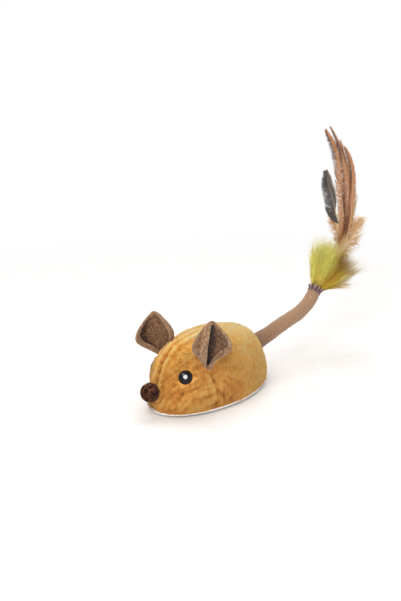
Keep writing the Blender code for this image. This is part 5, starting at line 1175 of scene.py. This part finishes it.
# A vane's outline on each side of its shaft: rows of (place along the shaft, share of the half width)
LEFT_VANE = (
    pairs(0, 100, 150, 500, 250, 800, 350, 1200, 450, 1400, 720, 1300, 850, 900, 930, 600, 1000, 120),
    pairs(0, 100, 150, 500, 350, 1100, 600, 1400, 800, 1400, 900, 600, 1000, 100),
)
MIDDLE_VANE = (
    pairs(0, 100, 150, 450, 350, 1000, 600, 1200, 720, 1000, 820, 700, 900, 400, 1000, 80),
    pairs(0, 100, 150, 450, 350, 900, 600, 1000, 780, 850, 860, 950, 880, 300, 1000, 80),
)
RIGHT_VANE = (
    pairs(0, 100, 150, 600, 350, 900, 700, 850, 850, 600, 1000, 100),
    pairs(0, 100, 200, 700, 400, 850, 550, 1000, 620, 1250, 660, 850, 800, 800, 920, 500, 1000, 100),
)
DOWN_VANE = 2 * (pairs(0, 100, 200, 300, 360, 900, 600, 1050, 850, 950, 950, 700, 1000, 300),)
SLATE_VANE = (
    pairs(
        0, 0, 575, 0, 595, 800, 620, 1550, 700, 1450, 800, 1200, 880, 950, 940, 650, 980, 400, 1000, 150,
    ),
    pairs(0, 0, 680, 20, 720, 400, 800, 600, 900, 520, 960, 300, 1000, 100),
)
# A feather's route: rows of (share of the reach, share of the rise)
LONG_LEFT = pairs(
    0, 0, 362, 93, 749, 211, 865, 299, 870, 378, 830, 466, 776, 554,
    734, 632, 695, 718, 633, 796, 540, 866, 432, 926, 273, 1002,
)
LONG_MIDDLE = pairs(
    0, 0, 337, 96, 760, 212, 880, 300, 936, 375, 965, 460, 964, 546,
    936, 624, 870, 719, 777, 806, 657, 885, 533, 952, 384, 1015,
)
LONG_RIGHT = pairs(
    0, 0, 313, 98, 771, 212, 902, 299, 976, 374, 1024, 450, 1042, 535,
    1048, 620, 1031, 690, 977, 761, 885, 825, 777, 879,
)
SLATE = pairs(
    0, 0, 387, 90, 703, 197, 812, 286, 769, 367, 648, 451, 526, 572, 430, 637, 374, 700, 330, 749,
)
DOWN_LEFT = pairs(0, 0, 412, 87, 622, 161, 815, 245, 754, 327, 633, 404, 530, 462)
DOWN_RIGHT = pairs(0, 0, 288, 101, 568, 170, 816, 242, 1014, 286, 1175, 341, 1250, 408)
BROWN = ((222, 154, 94), (106, 52, 16), (128, 114, 106), (248, 206, 156))
FOOT, GREEN = (248, 160, 72), (196, 182, 84)
GREY = ((114, 106, 102), (70, 54, 40), (132, 134, 138), (246, 218, 178))
PALE = ((255, 214, 160), (240, 184, 124), (255, 234, 204), (255, 240, 214))
# Marks on a vane: side, place and reach along it, place and reach across it, palette entry, strength
MARKS = {
    "left": ((1, 0.84, 0.09, 0.6, 0.5, 2, 0.9),
             (-1, 0.50, 0.14, 0.35, 0.4, 1, 1.0), (1, 0.5, 0.1, 0.9, 0.3, 3, 0.7)),
    "middle": ((1, 0.90, 0.11, 0.4, 0.9, 1, 1.0),
               (-1, 0.82, 0.08, 0.3, 0.3, 1, 0.9), (1, 0.40, 0.1, 0.5, 0.4, 1, 0.9)),
    "right": ((1, 0.80, 0.10, 0.4, 0.5, 1, 0.9),
              (-1, 0.56, 0.05, 0.9, 0.4, 5, 1.0), (1, 0.46, 0.1, 0.5, 0.5, 1, 0.9)),
    "slate": ((-1, 0.85, 0.2, 1.0, 0.25, 3, 0.9), (1, 0.65, 0.09, 0.5, 0.9, 1, 0.8)),
}
# Each feather: route, outline, half width, level along X, palette, looseness, marks, kind of slot
FEATHERS = {
    "down_left": (DOWN_LEFT, DOWN_VANE, 0.0072, -0.00225, PALE, 0.60, (), "cream"),
    "slate": (SLATE, SLATE_VANE, 0.0098, -0.00135, GREY, 0.04, MARKS["slate"], "slate"),
    "long_left": (LONG_LEFT, LEFT_VANE, 0.0056, -0.00045, BROWN, 0.16, MARKS["left"], "brown"),
    "long_middle": (LONG_MIDDLE, MIDDLE_VANE, 0.0056, 0.00045, BROWN, 0.16, MARKS["middle"], "brown"),
    "long_right": (LONG_RIGHT, RIGHT_VANE, 0.0052, 0.00135, BROWN, 0.20, MARKS["right"], "brown"),
    "down_right": (DOWN_RIGHT, DOWN_VANE, 0.0072, 0.00225, PALE, 0.75, (), "cream"),
}
BARBS_PER_SIDE, FIRST_BARB, LAST_BARB, CUPPING = 460, 0.12, 0.995, 14
ROUTE_POINTS, SHAFT_POINTS, SHAFT_STEPS = 400, 62, 10


# %% Barbs, shafts and their pieces
def barbs(shares, vane, half_width, level, palette, looseness, marks, seed):
    """Barb paths on both sides of a shaft. A barb's end lies at the vane's outline, further along it."""
    random = np.random.default_rng(seed)
    line = route(PLUME_ROOT, PLUME_SIZE, shares, ROUTE_POINTS)
    distance = np.concatenate(([0], np.cumsum(np.linalg.norm(np.diff(line, axis=0), axis=-1))))
    along = unit(np.gradient(line, axis=0))
    share = np.tile(np.linspace(FIRST_BARB, LAST_BARB, BARBS_PER_SIDE), 2)[:, None]
    share = share + random.uniform(-0.001, 0.001, share.shape)
    side = np.repeat((1.0, -1.0), BARBS_PER_SIDE)[:, None]
    parted = lumps(np.stack((share * 19, side * 7, 0 * share + seed), -1), 1.0, seed)
    left, right = (np.interp(share, *profile.T) for profile in vane)
    width = half_width * np.where(side > 0, left, right)
    width = width * (1 + looseness * 0.5 * random.normal(size=share.shape))
    width = width * np.where(parted > 0.55, 1 - looseness, 1.0) + 0.0004
    t = np.linspace(0, 1, 6)
    slant = 0.75 + 0.25 * parted + looseness * 0.7 * random.normal(size=share.shape)
    at = share * distance[-1] + slant * width * (0.5 * t + 0.6 * t**2)
    at = np.clip(at, 0, distance[-1] * 1.02)
    where = np.interp(at, distance, np.arange(len(line)))
    low = np.minimum(where.astype(int), len(line) - 2)
    part = (where - low)[..., None]
    centre = line[low] * (1 - part) + line[low + 1] * part
    beyond = np.maximum(at - distance[-1], 0)[..., None] * along[-1]
    outward = np.cross(AXIS_X, along)[low] * (side * width * t)[..., None]
    cup = (width * t) ** 2 * CUPPING + looseness * 0.0012 * t * random.normal(size=share.shape)
    paths = centre + beyond + outward + AXIS_X * cup[..., None] + AXIS_X * level
    radii = np.interp(t, (0, 0.5, 1), (0.00022, 0.00019, 0.00005)) + 0 * share
    return paths, radii, vane_colours(share, side, t, palette, marks, random), line + AXIS_X * level


def vane_colours(share, side, t, palette, marks, random):
    """Ground colour with fine streaks along the vane, a pale foot, its marks and chance per barb."""
    colours = np.array([tint(*colour)[:3] for colour in (*palette, FOOT, GREEN)])
    place = np.stack((share * 3.2, side * 2.0, 0 * share), -1) + t[:, None] * (0, 3.4, 0)
    streak = lumps(place, 1.0, 8)
    strength = np.interp(share, (0.15, 0.35, 0.6, 1), (0.1, 0.6, 0.7, 0.8))
    layers = [
        (colours[1], np.clip(streak * 2.0 - 0.30, 0, 1) * strength),
        (colours[2], np.clip(-streak * 2.0 - 0.60, 0, 1) * strength),
        (colours[4], np.clip(1.9 - share * 3.7, 0, 1) * 0.85 + 0 * t),
    ]
    for mark_side, at, reach, over, spread, entry, amount in marks:
        along = bell(share - at, reach) * (side == mark_side)
        layers.append((colours[entry], amount * along * bell(t - over, spread)))
    ground = colours[0] + np.zeros((*streak.shape, 3))
    return painted(ground, layers, 0.84 + 0.32 * random.random(share.shape))


for number, (name, (*feather, kind)) in enumerate(FEATHERS.items()):
    looks = vane_material, f"{kind}_feather"
    paths, radii, shades, line = barbs(*feather, 110 + number)
    points, faces, uv = strands(paths, radii, 130 + number)
    look = {"uv": uv, "shade": per_strand_point(shades)}
    piece(f"feather_{name}_vane", points, faces, *looks, f"feather_{name}", **look)
    thick = np.linspace(0.00050, 0.00010, SHAFT_POINTS)[:, None]
    points, faces = tube(line[::6][:SHAFT_POINTS], thick, SHAFT_STEPS)
    light = np.tile(tint(*feather[4][3]), (len(points), 1))
    piece(f"feather_{name}_shaft", points, faces, *looks, shade=light)

# %% [markdown]
# ## Foam pad
#
# Inside the body a block of foam keeps the cell off the circuit board. It is soft, so it is made anew: a
# rounded cushion with slightly bulging sides, as a superellipse in every direction.

# %% Foam pad
PAD_ROWS, PAD_COLUMNS, PAD_POWER = 38, 64, 0.25
foam = Finish("grey_foam", Roughness=0.95)
pores = foam.node("TexVoronoi", Vector=foam.place(), Scale=1 / 0.0006)
foam_material = foam.done(
    Base_Color=foam.ramp(pores, (0.0, 58, 58, 60), (0.5, 112, 112, 114)), Normal=foam.bump(pores, 0.0003)
)
low, high = (np.array(corner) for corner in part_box("battery_pad"))
lean = np.linspace(-np.pi / 2, np.pi / 2, PAD_ROWS + 2)[1:-1, None]
turn = np.arange(PAD_COLUMNS)[None] * 2 * np.pi / PAD_COLUMNS
wide, tall = signed_power(np.cos(lean), PAD_POWER), signed_power(np.sin(lean), PAD_POWER)
across, ahead = signed_power(np.cos(turn), PAD_POWER), signed_power(np.sin(turn), PAD_POWER)
block = np.stack(np.broadcast_arrays(wide * across, wide * ahead, tall), -1).reshape(-1, 3)
block = np.concatenate(([[0, 0, -1]], block, [[0, 0, 1]]))
points = (low + high) / 2 + block * (high - low) / 2
faces = faced(points, capped(PAD_ROWS, PAD_COLUMNS, first=1))
pad = piece("battery_foam", points, faces, foam_material, "grey_foam", "battery_pad")

# %% [markdown]
# ## Finishes of the hard parts
#
# The rigid parts keep their CAD meshes and get better materials. Moulded plastic has a faint grain and
# uneven gloss, rubber is dull, turned steel shows fine lines, and the circuit board has its copper tracks
# under green lacquer.

# %% Moulded plastics, rubber and foil
# Each row: pale and dark colour, roughness, depth of the grain, how metallic it is
MOULDED = {
    "white_plastic": ((243, 240, 234), (236, 232, 224), 0.32, 0.00004, 0.0),
    "gear_plastic": ((232, 227, 205), (222, 215, 190), 0.38, 0.00003, 0.0),
    "black_plastic": ((30, 30, 32), (20, 20, 22), 0.25, 0.00003, 0.0),
    "tyre_rubber": ((52, 50, 48), (34, 33, 32), 0.72, 0.00012, 0.0),
    "cell_wrap": ((200, 202, 206), (176, 178, 184), 0.28, 0.00006, 0.7),
    "red_lead": ((196, 34, 28), (170, 24, 22), 0.35, 0.00002, 0.0),
    "black_lead": ((34, 34, 36), (22, 22, 24), 0.35, 0.00002, 0.0),
}
slots = {}
for name, (pale, dark, roughness, depth, metallic) in MOULDED.items():
    made = Finish(name, Specular_IOR_Level=0.45, Metallic=metallic)
    slots[name] = made.done(
        Base_Color=made.ramp(made.noise(0.012, detail=2.0), (0.3, *dark), (0.7, *pale)),
        Roughness=made.noise(0.004) * 0.12 + roughness,
        Normal=made.bump(made.noise(0.0004), depth),
    )
slots["black_gloss"] = slots.pop("black_plastic")
print("moulded finishes:", sorted(slots))

# %% Steel and the circuit board
turned = Finish("steel", Metallic=1.0)
lines = turned.noise(0.0009, detail=4.0, stretch=(0.15, 1.0, 1.0))
slots["steel"] = turned.done(
    Base_Color=turned.ramp(lines, (0.3, 176, 178, 182), (0.7, 214, 215, 218)),
    Roughness=lines * 0.25 + 0.2,
    Normal=turned.bump(lines, 0.00003),
)
board = Finish("board_green", Specular_IOR_Level=0.5)
spread = board.node("Mapping", Vector=board.place(), Scale=(1.0, 1.0, 0.0))
track = board.node("TexBrick", output=1, Vector=spread, Scale=420.0, Mortar_Size=0.06)
lacquer = board.ramp(board.noise(0.006), (0.3, 16, 84, 50), (0.7, 24, 104, 62))
slots["board_green"] = board.done(
    Base_Color=board.blend(track * 0.55, lacquer, tint(70, 150, 88)),
    Roughness=board.noise(0.002) * 0.1 + 0.25,
    Normal=board.bump(track, 0.00005),
)
slots.update(golden_plush=plush_material, ear_felt=ear_material, nose_felt=nose_material)
slots.update(tail_fabric=tail_material, lime_fluff=down_material, grey_foam=foam_material)
slots.update(dict.fromkeys(("brown_feather", "slate_feather", "cream_feather"), vane_material))

# %% Hand the finishes to the CAD parts
for part in frame["record"]["subparts"]:
    node = nodes[part["node"]]
    for k in range(len(node.material_slots)):
        node.material_slots[k].material = slots[part["material_slot"]]

# %% [markdown] ## Last look at the sizes How far the soft pieces make the box grow past the CAD model's box.
# Last look at the sizes The soft pieces may stand a little proud of the CAD model and no more.

# %% Sizes and finish
scene_box = [list(corner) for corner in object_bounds()]
grown = 1000 * (np.array(scene_box) - np.array(cad_box))
print("box grew in mm:", np.round(grown, 1).tolist())
